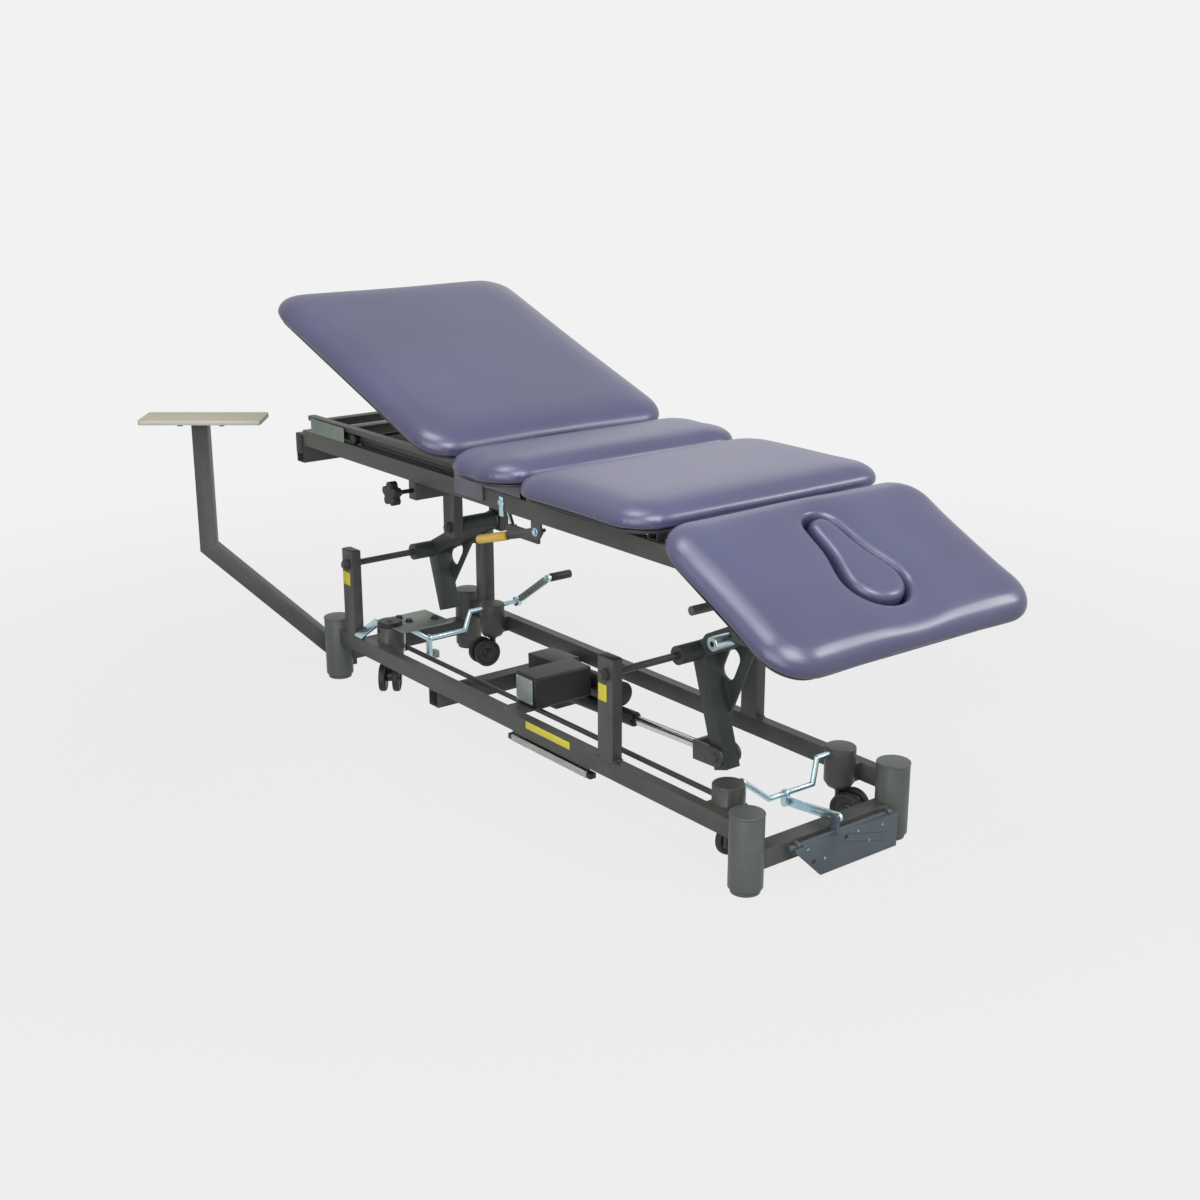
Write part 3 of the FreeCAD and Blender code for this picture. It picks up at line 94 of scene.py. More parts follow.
def node(tree, kind, put=None, stops=(), **settings):
    """Adds a node; settings are its properties, put fills its inputs, stops are (position, hex) of a colour ramp.

    A node that is put in an input stands for its first output.
    """
    made = tree.nodes.new(kind)
    for key, value in settings.items():
        setattr(made, key, value)
    for _ in stops[2:]:
        made.color_ramp.elements.new(0.5)
    for i, (position, hex_code) in enumerate(stops):
        made.color_ramp.elements[i].position = position
        made.color_ramp.elements[i].color = colour(hex_code)
    for key, value in (put or {}).items():
        if isinstance(value, bpy.types.Node):
            value = value.outputs[0]
        if isinstance(value, bpy.types.NodeSocket):
            tree.links.new(value, made.inputs[key])
        else:
            made.inputs[key].default_value = value
    return made


def emptied(owner):
    """Node tree of a material or a world, with nothing in it."""
    owner.use_nodes = True
    owner.node_tree.nodes.clear()
    return owner.node_tree


def new_object(name, mesh):
    """Object at the origin that holds a mesh."""
    made = bpy.data.objects.new(name, mesh)
    scene.collection.objects.link(made)
    return made


def mesh_of(shape, name):
    """Plain mesh from an edit mesh, which is freed."""
    mesh = bpy.data.meshes.new(name)
    shape.to_mesh(mesh)
    shape.free()
    return mesh


def modify(piece, kind, **settings):
    """Add a modifier with its settings."""
    modifier = piece.modifiers.new(kind.lower(), kind)
    for key, value in settings.items():
        setattr(modifier, key, value)
    return modifier


def applied(piece):
    """Keep what a piece's modifiers make as its own plain mesh."""
    bpy.context.view_layer.update()
    shape = piece.evaluated_get(bpy.context.evaluated_depsgraph_get())
    piece.data = bpy.data.meshes.new_from_object(shape)
    piece.data.name = piece.name
    piece.modifiers.clear()


def shade(mesh, degrees=35):
    """Smooth shading that stays sharp along edges above an angle."""
    mesh.polygons.foreach_set("use_smooth", [True] * len(mesh.polygons))
    mesh.set_sharp_from_angle(angle=math.radians(degrees))


# %% [markdown]
# ## Studio
# A product shot: a pale floor that runs into a pale background without a line, and five soft lamps: above, over
# the head end, beyond it on the far side, in front, and a weak one behind that gives the level cushions their
# sheen. They show as soft streaks where the cushions roll over, the head end is the brightest, and the cushions
# shade the steel below them. The floor glows, but only for the camera, for reflections and through clear things,
# so no extra light falls on the part, and its matt share keeps the shadow.

# %% Floor and background
PAPER = colour("#f2f2f2")
FLOOR_SIZE = 80.0
FLOOR_MATT = colour("#8c8c8c")
GLOW_NEAR = 0.90
GLOW_FADE = (0.9, 3.4)
AMBIENT = 0.27
LAMPS_AIM = Vector((0, 0, 0.5))
# Name, place and width in metres, power in watts
LAMPS = (
    ("top_lamp", (0.1, -0.9, 3.9), 1.5, 55.0),
    ("head_lamp", (2.7, -0.5, 3.0), 1.8, 100.0),
    ("far_lamp", (3.2, 3.6, 3.2), 1.2, 75.0),
    ("front_lamp", (1.9, -3.6, 1.7), 3.4, 112.0),
    ("back_lamp", (-3.2, 3.6, 2.6), 2.4, 7.0),
)


def seen_background(tree):
    """1 for camera, glossy and transmission rays, which are to meet the pale background."""
    rays = node(tree, "ShaderNodeLightPath")
    first = node(tree, "ShaderNodeMath", {0: rays.outputs["Is Camera Ray"], 1: rays.outputs["Is Glossy Ray"]},
                 operation="MAXIMUM")
    return node(tree, "ShaderNodeMath", {0: first, 1: rays.outputs["Is Transmission Ray"]}, operation="MAXIMUM")


floor_mesh = bpy.data.meshes.new("floor")
half = FLOOR_SIZE / 2
floor_mesh.from_pydata([(-half, -half, 0), (half, -half, 0), (half, half, 0), (-half, half, 0)], [], [(0, 1, 2, 3)])
floor = new_object("floor", floor_mesh)

paper = bpy.data.materials.new("studio_paper")
tree = emptied(paper)
place = node(tree, "ShaderNodeTexCoord")
away = node(tree, "ShaderNodeVectorMath", {0: place.outputs["Object"]}, operation="LENGTH")
fade = node(tree, "ShaderNodeMapRange", interpolation_type="SMOOTHSTEP", put={
    "Value": away.outputs["Value"], "From Min": GLOW_FADE[0], "From Max": GLOW_FADE[1], "To Min": GLOW_NEAR})
part = node(tree, "ShaderNodeMath", {0: seen_background(tree), 1: fade}, operation="MULTIPLY")
matt = node(tree, "ShaderNodeBsdfDiffuse", {"Color": FLOOR_MATT})
glow = node(tree, "ShaderNodeEmission", {"Color": PAPER, "Strength": 1.0})
mixed = node(tree, "ShaderNodeMixShader", {0: part, 1: matt, 2: glow})
node(tree, "ShaderNodeOutputMaterial", {"Surface": mixed})
floor_mesh.materials.append(paper)

world = bpy.data.worlds.new("studio")
scene.world = world
tree = emptied(world)
dim = node(tree, "ShaderNodeBackground", {"Color": colour("#ffffff"), "Strength": AMBIENT})
bright = node(tree, "ShaderNodeBackground", {"Color": PAPER, "Strength": 1.0})
mixed = node(tree, "ShaderNodeMixShader", {0: seen_background(tree), 1: dim, 2: bright})
node(tree, "ShaderNodeOutputWorld", {"Surface": mixed})
print("floor:", FLOOR_SIZE, "m wide")

# %% Lamps
for name, at, size, watts in LAMPS:
    lamp = bpy.data.lights.new(name, "AREA")
    lamp.size = size
    lamp.energy = watts
    holder = bpy.data.objects.new(name, lamp)
    holder.location = at
    holder.rotation_euler = (LAMPS_AIM - Vector(at)).to_track_quat("-Z", "Y").to_euler()
    holder.visible_camera = False
    scene.collection.objects.link(holder)
print("lamps:", [lamp[0] for lamp in LAMPS])

# %% [markdown]
# ## Finishes
# Each finish starts from what the real surface is. Patterns are sized in millimetres: a texture's scale is one
# over its spacing in metres. A bump's distance is the real depth of the mark. A picture of the surface would be
# quicker, but it repeats and blurs up close, so every pattern is computed. In most finishes one broad noise, for
# dust and handling, drives colour and roughness together, and a fine one makes the relief.


# %% Steps that several finishes share
def finish(name):
    """Empty material: returns it, its tree and the object coordinates."""
    made = bpy.data.materials.new(name)
    tree = emptied(made)
    return made, tree, node(tree, "ShaderNodeTexCoord").outputs["Object"]


def coated(made, drift, stops, rough, bump, plain):
    """Close a finish: one noise drives its colour and its roughness; plain fills more inputs of the shader."""
    tree = made.node_tree
    tint = node(tree, "ShaderNodeValToRGB", {"Fac": drift}, stops=stops)
    worn = node(tree, "ShaderNodeMapRange", {"Value": drift, "To Min": rough[0], "To Max": rough[1]})
    relief = {"Normal": bump} if bump else {}
    shader = node(tree, "ShaderNodeBsdfPrincipled", {"Base Color": tint, "Roughness": worn, **relief, **plain})
    node(tree, "ShaderNodeOutputMaterial", {"Surface": shader})
    return made


def per(millimetres):
    """Texture scale that gives one feature in so many millimetres."""
    return 1.0 / (millimetres * MM)


# %% [markdown]
# ### Powder coat
# Polyester powder baked on steel: satin, with a fine orange peel, and a little dust where hands don't reach.

# %% Powder coat
def powder_coat(name, dark, light):
    """Baked powder coat; the peel is 1.5 mm in life and drawn at 3 mm so that it shows."""
    made, tree, at = finish(name)
    peel = node(tree, "ShaderNodeTexNoise", {"Vector": at, "Scale": per(3), "Detail": 2})
    dust = node(tree, "ShaderNodeTexNoise", {"Vector": at, "Scale": per(90), "Detail": 5, "Roughness": 0.65})
    bump = node(tree, "ShaderNodeBump", {"Height": peel, "Distance": 0.05 * MM, "Strength": 0.5})
    return coated(made, dust, ((0.35, dark), (0.7, light)), (0.4, 0.54), bump, {"IOR": 1.5})


CHARCOAL = powder_coat("charcoal_powder_coat", "#3a3b38", "#484945")
SLATE = powder_coat("slate_powder_coat", "#39434a", "#47525a")
# Charcoal coat with a painted reflection of the purple cushions mixed into its colour, for the carriage flaps and
# valances
CUSHION_REFLECTION_COAT = powder_coat("charcoal_coat_with_painted_cushion_reflection", "#5c5867", "#686472")
PILLAR_COAT = powder_coat("grey_green_powder_coat", "#454a47", "#545a56")
CRANK_COAT = powder_coat("blue_black_powder_coat", "#282d2d", "#343a3a")
DARK_BOARD = powder_coat("black_stained_board", "#1b1b1a", "#282826")


# %% [markdown]
# ### Vinyl
# Calendered sheet over foam: satin, smooth to the eye. Small cells give its grain, and a slow wave below them
# the soft unevenness of the foam.

# %% Vinyl
def vinyl(name, deep, pale):
    """Upholstery vinyl; the grain is 0.8 mm in life and drawn at 2 mm so that it shows up close."""
    made, tree, at = finish(name)
    grain = node(tree, "ShaderNodeTexVoronoi", {"Vector": at, "Scale": per(2)}, feature="DISTANCE_TO_EDGE")
    cloud = node(tree, "ShaderNodeTexNoise", {"Vector": at, "Scale": per(220), "Detail": 2, "Roughness": 0.5})
    wave = node(tree, "ShaderNodeTexNoise", {"Vector": at, "Scale": per(70), "Detail": 1})
    soft = node(tree, "ShaderNodeBump", {"Height": wave, "Distance": 0.5 * MM, "Strength": 0.25})
    fine = node(tree, "ShaderNodeBump", {"Height": grain, "Distance": 0.05 * MM, "Strength": 0.3, "Normal": soft})
    return coated(made, cloud, ((0.3, deep), (0.72, pale)), (0.3, 0.38), fine, {"IOR": 1.6})


PURPLE_VINYL = vinyl("purple_vinyl", "#3c3b58", "#404260")


# %% [markdown]
# ### Zinc
# Plated steel, passivated, so its sheen drifts between blue and straw: three colours on one noise.

# %% Zinc
def zinc_plate(name, blue, plain, straw, rough):
    """Zinc on bent steel, with faint drawing marks; an old or dull coat is rougher and greyer."""
    made, tree, at = finish(name)
    drift = node(tree, "ShaderNodeTexNoise", {"Vector": at, "Scale": per(28), "Detail": 4, "Roughness": 0.6})
    marks = node(tree, "ShaderNodeTexNoise", {"Vector": at, "Scale": per(5), "Detail": 3})
    bump = node(tree, "ShaderNodeBump", {"Height": marks, "Distance": 0.06 * MM, "Strength": 0.4})
    return coated(made, drift, ((0.3, blue), (0.72, straw), (0.5, plain)), rough, bump, {"Metallic": 1.0})


ZINC = zinc_plate("bright_zinc", "#9fc3d6", "#bfd7e2", "#cddadb", (0.22, 0.42))
DULL_ZINC = zinc_plate("dull_zinc", "#77857e", "#86918a", "#8f948a", (0.45, 0.62))


# %% [markdown]
# ### Ground rod
# Hard chrome, ground round. The marks are too fine for a bump, so they only roughen the mirror in places.

# %% Ground rod
def ground_chrome(name):
    """Chromed rod; the grinding rings are far finer in life and drawn at 2 mm."""
    made, tree, at = finish(name)
    rings = node(tree, "ShaderNodeTexNoise", {"Vector": at, "Scale": per(2), "Detail": 2})
    return coated(made, rings, ((0.3, "#b9bcbd"), (0.7, "#d4d6d6")), (0.1, 0.22), None, {"Metallic": 1.0})


CHROME = ground_chrome("ground_chrome")


# %% [markdown]
# ### Moulded plastics and rubber
# Spark-eroded tools leave a fine even grain, so one function serves them all, with its own grain and gloss.

# %% Moulded plastics and rubber
DUST_DULLS = 0.06


def moulded(name, dark, light, rough, grit_mm, depth_mm):
    """Moulded plastic or rubber with an even fine grain and a little dust."""
    made, tree, at = finish(name)
    grit = node(tree, "ShaderNodeTexNoise", {"Vector": at, "Scale": per(grit_mm), "Detail": 2})
    dust = node(tree, "ShaderNodeTexNoise", {"Vector": at, "Scale": per(60), "Detail": 4, "Roughness": 0.7})
    bump = node(tree, "ShaderNodeBump", {"Height": grit, "Distance": depth_mm * MM, "Strength": 0.5})
    worn = (rough - DUST_DULLS, rough + DUST_DULLS)
    return coated(made, dust, ((0.4, dark), (0.75, light)), worn, bump, {"IOR": 1.46})


BLACK_PLASTIC = moulded("black_nylon", "#111111", "#1c1c1b", 0.45, 1.6, 0.05)
GREY_PLASTIC = moulded("grey_abs", "#9ea19d", "#b0b3ae", 0.42, 1.6, 0.04)
PALE_PLATE = moulded("pale_abs", "#828b89", "#929b98", 0.4, 1.6, 0.03)
FORK_PLASTIC = moulded("graphite_nylon", "#242625", "#323433", 0.42, 1.6, 0.05)
TYRE = moulded("grey_black_rubber", "#1e1f1d", "#2c2d2a", 0.62, 1.2, 0.08)
YELLOW_FILM = moulded("yellow_film", "#d2c236", "#decf4a", 0.35, 4.0, 0.02)
YELLOW_GRIP = moulded("amber_vinyl_grip", "#dcb146", "#ebc767", 0.38, 2.0, 0.04)


# %% [markdown]
# ### Plywood
# Birch veneers under clear lacquer. The face has a stretched grain and the cut edge has glue lines, so the
# direction of the surface chooses between the two.

# %% Plywood
def plywood(name, face_dark, face_light):
    """Birch ply; the grain runs along X, and dark glue lines show on a cut edge, drawn 3 mm apart."""
    made, tree, at = finish(name)
    stretch = node(tree, "ShaderNodeMapping", {"Vector": at, "Scale": (0.12, 1.0, 1.0)})
    grain = node(tree, "ShaderNodeTexNoise", {"Vector": stretch, "Scale": per(9), "Detail": 6, "Roughness": 0.6})
    face = node(tree, "ShaderNodeValToRGB", {"Fac": grain}, stops=((0.3, face_dark), (0.7, face_light)))
    split = node(tree, "ShaderNodeSeparateXYZ", {0: at})
    layer = node(tree, "ShaderNodeMath", {0: split.outputs["Z"], 1: per(3.0)}, operation="MULTIPLY")
    saw = node(tree, "ShaderNodeMath", {0: layer}, operation="FRACT")
    edge = node(tree, "ShaderNodeValToRGB", {"Fac": saw},
                stops=((0.0, "#857f6e"), (0.55, "#a9ad9f"), (0.2, "#b3b8ab"), (0.5, "#bcc0b4")))
    surface = node(tree, "ShaderNodeNewGeometry")
    up = node(tree, "ShaderNodeSeparateXYZ", {0: surface.outputs["Normal"]})
    flat = node(tree, "ShaderNodeMath", {0: up.outputs["Z"]}, operation="ABSOLUTE")
    side = node(tree, "ShaderNodeMapRange", {"Value": flat, "From Min": 0.3, "From Max": 0.7})
    blend = node(tree, "ShaderNodeMix", {"Factor": side, 6: edge, 7: face}, data_type="RGBA")
    rough = node(tree, "ShaderNodeMapRange", {"Value": grain, "To Min": 0.42, "To Max": 0.6})
    bump = node(tree, "ShaderNodeBump", {"Height": grain, "Distance": 0.12 * MM, "Strength": 0.5})
    shader = node(tree, "ShaderNodeBsdfPrincipled", {
        "Base Color": blend.outputs[2], "Normal": bump, "Roughness": rough})
    node(tree, "ShaderNodeOutputMaterial", {"Surface": shader})
    return made


BIRCH = plywood("birch_ply", "#9d9885", "#aeaa98")
print("finishes:", len(bpy.data.materials))

# %% [markdown]
# ## Steel work with softened edges
# A real tube has rolled corners and a real plate has its edges taken off, and that thin bright line is what
# makes metal look solid. The CAD solids have sharp edges, so a copy of each node is merged into one skin, its
# flat faces are joined, and a narrow bevel rounds every edge. The copy stands for its node on the same body.
# Where one node joins two materials, such as a lever and its grip, the faces inside a box get the second one.

# %% Finish of each node
NODE_BODY = {name: body for body, members in frame["record"]["behaviour"]["bodies"].items() for name in members}
NODE_SLOT = {row["node"]: row["material_slot"] for row in frame["record"]["subparts"]}
SLOT_FINISH = {"powder_coat": CHARCOAL, "zinc": ZINC, "steel_rod": CHROME, "ply": DARK_BOARD,
               "black_plastic": BLACK_PLASTIC, "grey_plastic": FORK_PLASTIC, "rubber": TYRE}
OWN_FINISH = {"stand_platform": BIRCH, "switch_bar": BLACK_PLASTIC, "castor_pedal": SLATE, "end_guards": DULL_ZINC,
              "castor_plate": DULL_ZINC, "control_box": BLACK_PLASTIC, "pillars": PILLAR_COAT,
              "pillar_ends": PILLAR_COAT, "crank_head": CRANK_COAT, "crank_foot": CRANK_COAT}
SOFT_NODES = ("middle_pad", "narrow_pad", "long_pad", "head_pad", "face_plug")
WHEEL_NODES = [name for name in NODE_BODY if name.startswith("castor_wheels")]
JOINT_AT = {row["name"]: row["pos_m"] for row in frame["joints"] if "pos_m" in row}
ANY = 9.0
# Where a second finish starts or ends on its node, in metres
GRIP_TO_X = JOINT_AT["release_pull"][0] - 0.116
TREAD_TO_Y = -0.1680
BOX_PLATE_TO_Y = -0.1502
FLAP_FROM_X, FLAP_FROM_Y = -0.1345, 0.2405
LEVER_GRIP_FROM_Y = 0.2465
ROD_END_FROM_X = 0.362


def region(x=(-ANY, ANY), y=(-ANY, ANY)):
    """Box in metres, as low and high corner, open on the sides that aren't given."""
    return tuple(zip(x, y, (-ANY, ANY)))


SECOND_FINISH = {
    "release_lever": [(region(x=(-ANY, GRIP_TO_X)), YELLOW_GRIP)],
    "castor_plate": [(region(y=(-ANY, TREAD_TO_Y)), ZINC)],
    "control_box": [(region(y=(-ANY, BOX_PLATE_TO_Y)), PALE_PLATE)],
    # Outer faces of the carriage sides by the narrow cushion: charcoal coat tinted by a painted reflection of the
    # purple cushions
    "carriage_sides": [(region((FLAP_FROM_X, ANY), (-ANY, -FLAP_FROM_Y)), CUSHION_REFLECTION_COAT),
                       (region((FLAP_FROM_X, ANY), (FLAP_FROM_Y, ANY)), CUSHION_REFLECTION_COAT)],
    "cross_rod_foot": [(region(y=(LEVER_GRIP_FROM_Y, ANY)), BLACK_PLASTIC)],
    "actuator_rod": [(region(x=(ROD_END_FROM_X, ANY)), CHARCOAL)],
}
print("second finishes:", sorted(SECOND_FINISH))


# %% Rounded copies of the rigid nodes
def put_on(piece, body, stands_for=None):
    """Give a finished piece its body, and hide the CAD node that it stands for, if any."""
    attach(piece, body)
    if stands_for:
        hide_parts(stands_for)


def soft_edged(name, width_mm):
    """Copy of a CAD node with its sharp edges rounded, on the same body, with the finish of its node."""
    shape = bmesh.new()
    shape.from_mesh(frame["nodes"][name].data)
    bmesh.ops.remove_doubles(shape, verts=shape.verts, dist=0.01 * MM)
    bmesh.ops.dissolve_limit(shape, angle_limit=math.radians(1.0), verts=shape.verts, edges=shape.edges)
    piece = new_object(name + "_finished", mesh_of(shape, name + "_finished"))
    modify(piece, "BEVEL", width=width_mm * MM, segments=2, limit_method="ANGLE", angle_limit=math.radians(40))
    applied(piece)
    shade(piece.data)
    piece.data.materials.clear()
    piece.data.materials.append(OWN_FINISH.get(name) or SLOT_FINISH[NODE_SLOT[name]])
    for (low, high), second in SECOND_FINISH.get(name, ()):
        piece.data.materials.append(second)
        for face in piece.data.polygons:
            if all(a <= c <= b for a, c, b in zip(low, face.center, high)):
                face.material_index = len(piece.data.materials) - 1
    put_on(piece, NODE_BODY[name], name)


EDGE = 0.8
EDGE_MM = {"side_rails": 2.0, "base_rails": 2.0, "stand_arm": 2.0, "posts": 2.0, "hangers": 2.0, "crank_head": 1.2,
           "crank_foot": 1.2}
for name in sorted(NODE_BODY):
    if name not in SOFT_NODES and name not in WHEEL_NODES:
        soft_edged(name, EDGE_MM.get(name, EDGE))
print("rounded nodes:", len(NODE_BODY) - len(SOFT_NODES) - len(WHEEL_NODES))

# %% [markdown]
# ## Castor wheels
# A twin-wheel castor runs on two moulded wheels: a rubber tread with round shoulders on a dished hub. A wheel is
# a turned form, so half its section is drawn once, as radius and width, and spun round the axle.

# %% Turned wheels
# Radius and distance from the wheel's inner face, in millimetres, from the bore round to the bore again
WHEEL_SECTION = ((5.2, 0.0), (24.0, 0.0), (25.5, 1.6), (29.0, 1.6), (30.0, 0.3), (33.0, 0.3), (34.8, 1.5), (35.7, 3.6),
                 (36.0, 6.5), (36.0, 10.5), (35.7, 13.4), (34.8, 15.5), (33.0, 16.7), (30.0, 16.7), (29.2, 15.4),
                 (28.0, 15.4), (27.2, 16.4), (26.0, 16.4), (24.5, 13.6), (14.5, 12.6), (12.5, 16.2), (11.5, 17.0),
                 (7.2, 17.0), (6.6, 15.0), (5.2, 15.0))
WHEEL_WIDTH = 17.0
TREAD_FROM = 28.6
TURN_STEPS = 56


def turned(name, section, middle, axle, finish_of):
    """Spin a closed section, as (radius, distance along the axle) in millimetres, and set it on an axle."""
    shape = bmesh.new()
    ring = [shape.verts.new((r * MM, 0, w * MM)) for r, w in section]
    edges = [shape.edges.new((a, b)) for a, b in zip(ring, ring[1:] + ring[:1])]
    bmesh.ops.spin(shape, geom=ring + edges, cent=(0, 0, 0), axis=(0, 0, 1), angle=2 * math.pi, steps=TURN_STEPS)
    bmesh.ops.remove_doubles(shape, verts=shape.verts, dist=0.02 * MM)
    bmesh.ops.recalc_face_normals(shape, faces=shape.faces)
    mesh = mesh_of(shape, name)
    finishes = []
    for face in mesh.polygons:
        wanted = finish_of(math.hypot(face.center.x, face.center.y) / MM)
        if wanted not in finishes:
            finishes.append(wanted)
            mesh.materials.append(wanted)
        face.material_index = finishes.index(wanted)
    turn = Vector(axle).to_track_quat("Z", "Y").to_matrix().to_4x4()
    mesh.transform(Matrix.Translation(middle) @ turn)
    shade(mesh, 40)
    return new_object(name, mesh)


def joined(name, pieces):
    """One object from several at the origin."""
    shape = bmesh.new()
    finishes = []
    for piece in pieces:
        for material in piece.data.materials:
            if material not in finishes:
                finishes.append(material)
        for face in piece.data.polygons:
            face.material_index = finishes.index(piece.data.materials[face.material_index])
        shape.from_mesh(piece.data)
        bpy.data.objects.remove(piece)
    mesh = mesh_of(shape, name)
    for material in finishes:
        mesh.materials.append(material)
    return new_object(name, mesh)


for name in WHEEL_NODES:
    spin_joint = next(row for row in frame["joints"] if row["child"] == NODE_BODY[name])
    middle, axle = Vector(spin_joint["pos_m"]), Vector(spin_joint["axis"])
    outer = max((v.co - middle).dot(axle) for v in frame["nodes"][name].data.vertices)
    inner = outer - WHEEL_WIDTH * MM
    pair = [turned("%s_%d" % (name, side), WHEEL_SECTION, middle + axle * inner * side, axle * side,
                   lambda r: TYRE if r > TREAD_FROM else FORK_PLASTIC) for side in (1, -1)]
    put_on(joined(name + "_turned", pair), NODE_BODY[name], name)
print("turned wheels:", 2 * len(WHEEL_NODES))

# %% [markdown]
# ## Cushions
# A couch pad is foam glued to a board with vinyl pulled tight over it. Its top is almost flat, its edges are
# full, and its long sides draw in a little between the corners. A block with a wide bevel would do for a distant
# view, but its edge is the same all round, so the form is built from rings up the side.

# %% Cushion form
PAD_WIDTH = 0.690
PAD_THICK = 0.046
PAD_CORNER = 0.085
PAD_DRAW = 0.0025
LEAST_CORNER = 0.012
MOST_INSET = 0.4
CORNER_STEPS = 12
SIDE_STEPS = 16
ARC_STEPS = 32
HOLE_WAIST = 0.0065
# Rise up the pad (share of its thickness) and inset from the widest line, in millimetres
SIDE_RINGS = ((0.0, 12.0), (0.04, 7.5), (0.10, 3.6), (0.19, 1.0), (0.30, 0.0), (0.43, 1.2), (0.55, 4.2), (0.65, 8.4),
              (0.74, 13.8), (0.815, 20.0), (0.875, 27.0), (0.925, 36.0), (0.96, 47.0), (0.982, 62.0), (1.0, 100.0))


def pad_outline(x, gap, least_corner, draw):
    """Points round a pad, moved in by a gap: round corners, and sides that draw in between them."""
    points = []
    corner = max(PAD_CORNER - gap, least_corner)
    foot, head, side = x[0] + gap + corner, x[1] - gap - corner, PAD_WIDTH / 2 - gap - corner
    corners = ((head, side, 0), (foot, side, 90), (foot, -side, 180), (head, -side, 270))
    for i, (cx, cy, start) in enumerate(corners):
        for k in range(CORNER_STEPS + 1):
            a = math.radians(start + 90 * k / CORNER_STEPS)
            points.append(Vector((cx + corner * math.cos(a), cy + corner * math.sin(a))))
        nx, ny, turn = corners[(i + 1) % 4]
        first = points[-1]
        a = math.radians(turn)
        last = Vector((nx + corner * math.cos(a), ny + corner * math.sin(a)))
        inward = Vector((-math.cos(a), -math.sin(a)))
        for k in range(1, SIDE_STEPS):
            s = k / SIDE_STEPS
            points.append(first.lerp(last, s) + inward * draw * 4 * s * (1 - s))
    return points


def keyhole(centre_x, reach, narrow, wide):
    """Points round a keyhole: a narrow round end and a wide one, joined by sides that draw in."""
    lean = math.acos((narrow - wide) / reach)
    arcs = []
    for middle, radius, start, sweep in ((centre_x, narrow, lean, 2 * (math.pi - lean)),
                                         (centre_x + reach, wide, -lean, 2 * lean)):
        turns = [start + sweep * k / ARC_STEPS for k in range(ARC_STEPS + 1)]
        arcs.append([Vector((middle + radius * math.cos(a), radius * math.sin(a))) for a in turns])
    points = []
    for arc, following in (arcs, arcs[::-1]):
        points += arc
        inward = Vector((0, -math.copysign(HOLE_WAIST, arc[-1].y)))
        for k in range(1, SIDE_STEPS):
            s = k / SIDE_STEPS
            points.append(arc[-1].lerp(following[0], s) + inward * math.sin(math.pi * s) ** 2)
    return points


def ring_solid(name, rings):
    """Closed solid from rings of equal point count, given as (points, z)."""
    shape = bmesh.new()
    loops = [[shape.verts.new((p.x, p.y, z)) for p in points] for points, z in rings]
    count = len(loops[0])
    for low, high in zip(loops, loops[1:]):
        for i in range(count):
            j = (i + 1) % count
            shape.faces.new((low[i], low[j], high[j], high[i]))
    shape.faces.new(loops[0][::-1])
    shape.faces.new(loops[-1])
    bmesh.ops.recalc_face_normals(shape, faces=shape.faces)
    return new_object(name, mesh_of(shape, name))


def pad_form(name, x, under):
    """Cushion of the standard width between two x values, its underside at a height."""
    rings = []
    for rise, inset in SIDE_RINGS:
        gap = min(inset * MM, MOST_INSET * (x[1] - x[0]))
        rings.append((pad_outline(x, gap, LEAST_CORNER, PAD_DRAW), under + rise * PAD_THICK))
    return ring_solid(name, rings)


# %% [markdown]
# ### Swelling
# Foam presses the vinyl out wherever the board doesn't hold it. The form is remeshed to even squares and blown up a
# little by Blender's cloth with pressure, which takes the drawn look off it. The cloth also buckles, as loose vinyl
# would, so its small moves are spread over their neighbours and only the fullness stays.

# %% Cushion swelling
FULLNESS = 2.0 * MM
HELD_UP_TO = 5 * MM
SWELL_CAP = 4.5 * MM
FRAMES = 20
EASE_STEPS = 60
CLOTH = {"quality": 4, "mass": 0.3, "tension_stiffness": 18, "compression_stiffness": 18, "bending_stiffness": 0.8,
         "use_pressure": True, "uniform_pressure_force": 4.0, "vertex_group_mass": "held"}


def remeshed(piece, voxel_mm):
    """Even mesh over the same form."""
    modify(piece, "REMESH", mode="VOXEL", voxel_size=voxel_mm * MM)
    applied(piece)


def swell(piece, under):
    """Blow a cushion up with cloth pressure, held along the board, and cap how far a point may go."""
    mesh = piece.data
    held = piece.vertex_groups.new(name="held")
    normals = [v.normal.copy() for v in mesh.vertices]
    for v in mesh.vertices:
        if v.co.z < under + HELD_UP_TO:
            held.add([v.index], 1.0, "REPLACE")
        else:
            v.co += normals[v.index] * FULLNESS
    start = [v.co.copy() for v in mesh.vertices]
    cloth = modify(piece, "CLOTH")
    for key, value in CLOTH.items():
        setattr(cloth.settings, key, value)
    cloth.settings.effector_weights.gravity = 0.0
    cloth.collision_settings.use_collision = False
    cloth.point_cache.frame_start = 1
    cloth.point_cache.frame_end = FRAMES
    for step in range(1, FRAMES + 1):
        scene.frame_set(step)
    applied(piece)
    piece.vertex_groups.clear()
    swollen = piece.data
    moves = np.array([v.co - first for v, first in zip(swollen.vertices, start)])
    lengths = np.linalg.norm(moves, axis=1)
    moves *= np.minimum(1.0, SWELL_CAP / np.maximum(lengths, 1e-9))[:, None]
    pairs = np.array([edge.vertices[:] for edge in swollen.edges])
    neighbours = np.bincount(pairs.ravel(), minlength=len(moves))[:, None]
    for step in range(EASE_STEPS):
        total = np.zeros_like(moves)
        np.add.at(total, pairs[:, 0], moves[pairs[:, 1]])
        np.add.at(total, pairs[:, 1], moves[pairs[:, 0]])
        moves = 0.5 * moves + 0.5 * total / neighbours
    for v, first, move in zip(swollen.vertices, start, moves):
        v.co = first + Vector(move)
    scene.frame_set(1)
    print(piece.name, "swelled up to", round(lengths.max() / MM, 1), "mm before the cap")


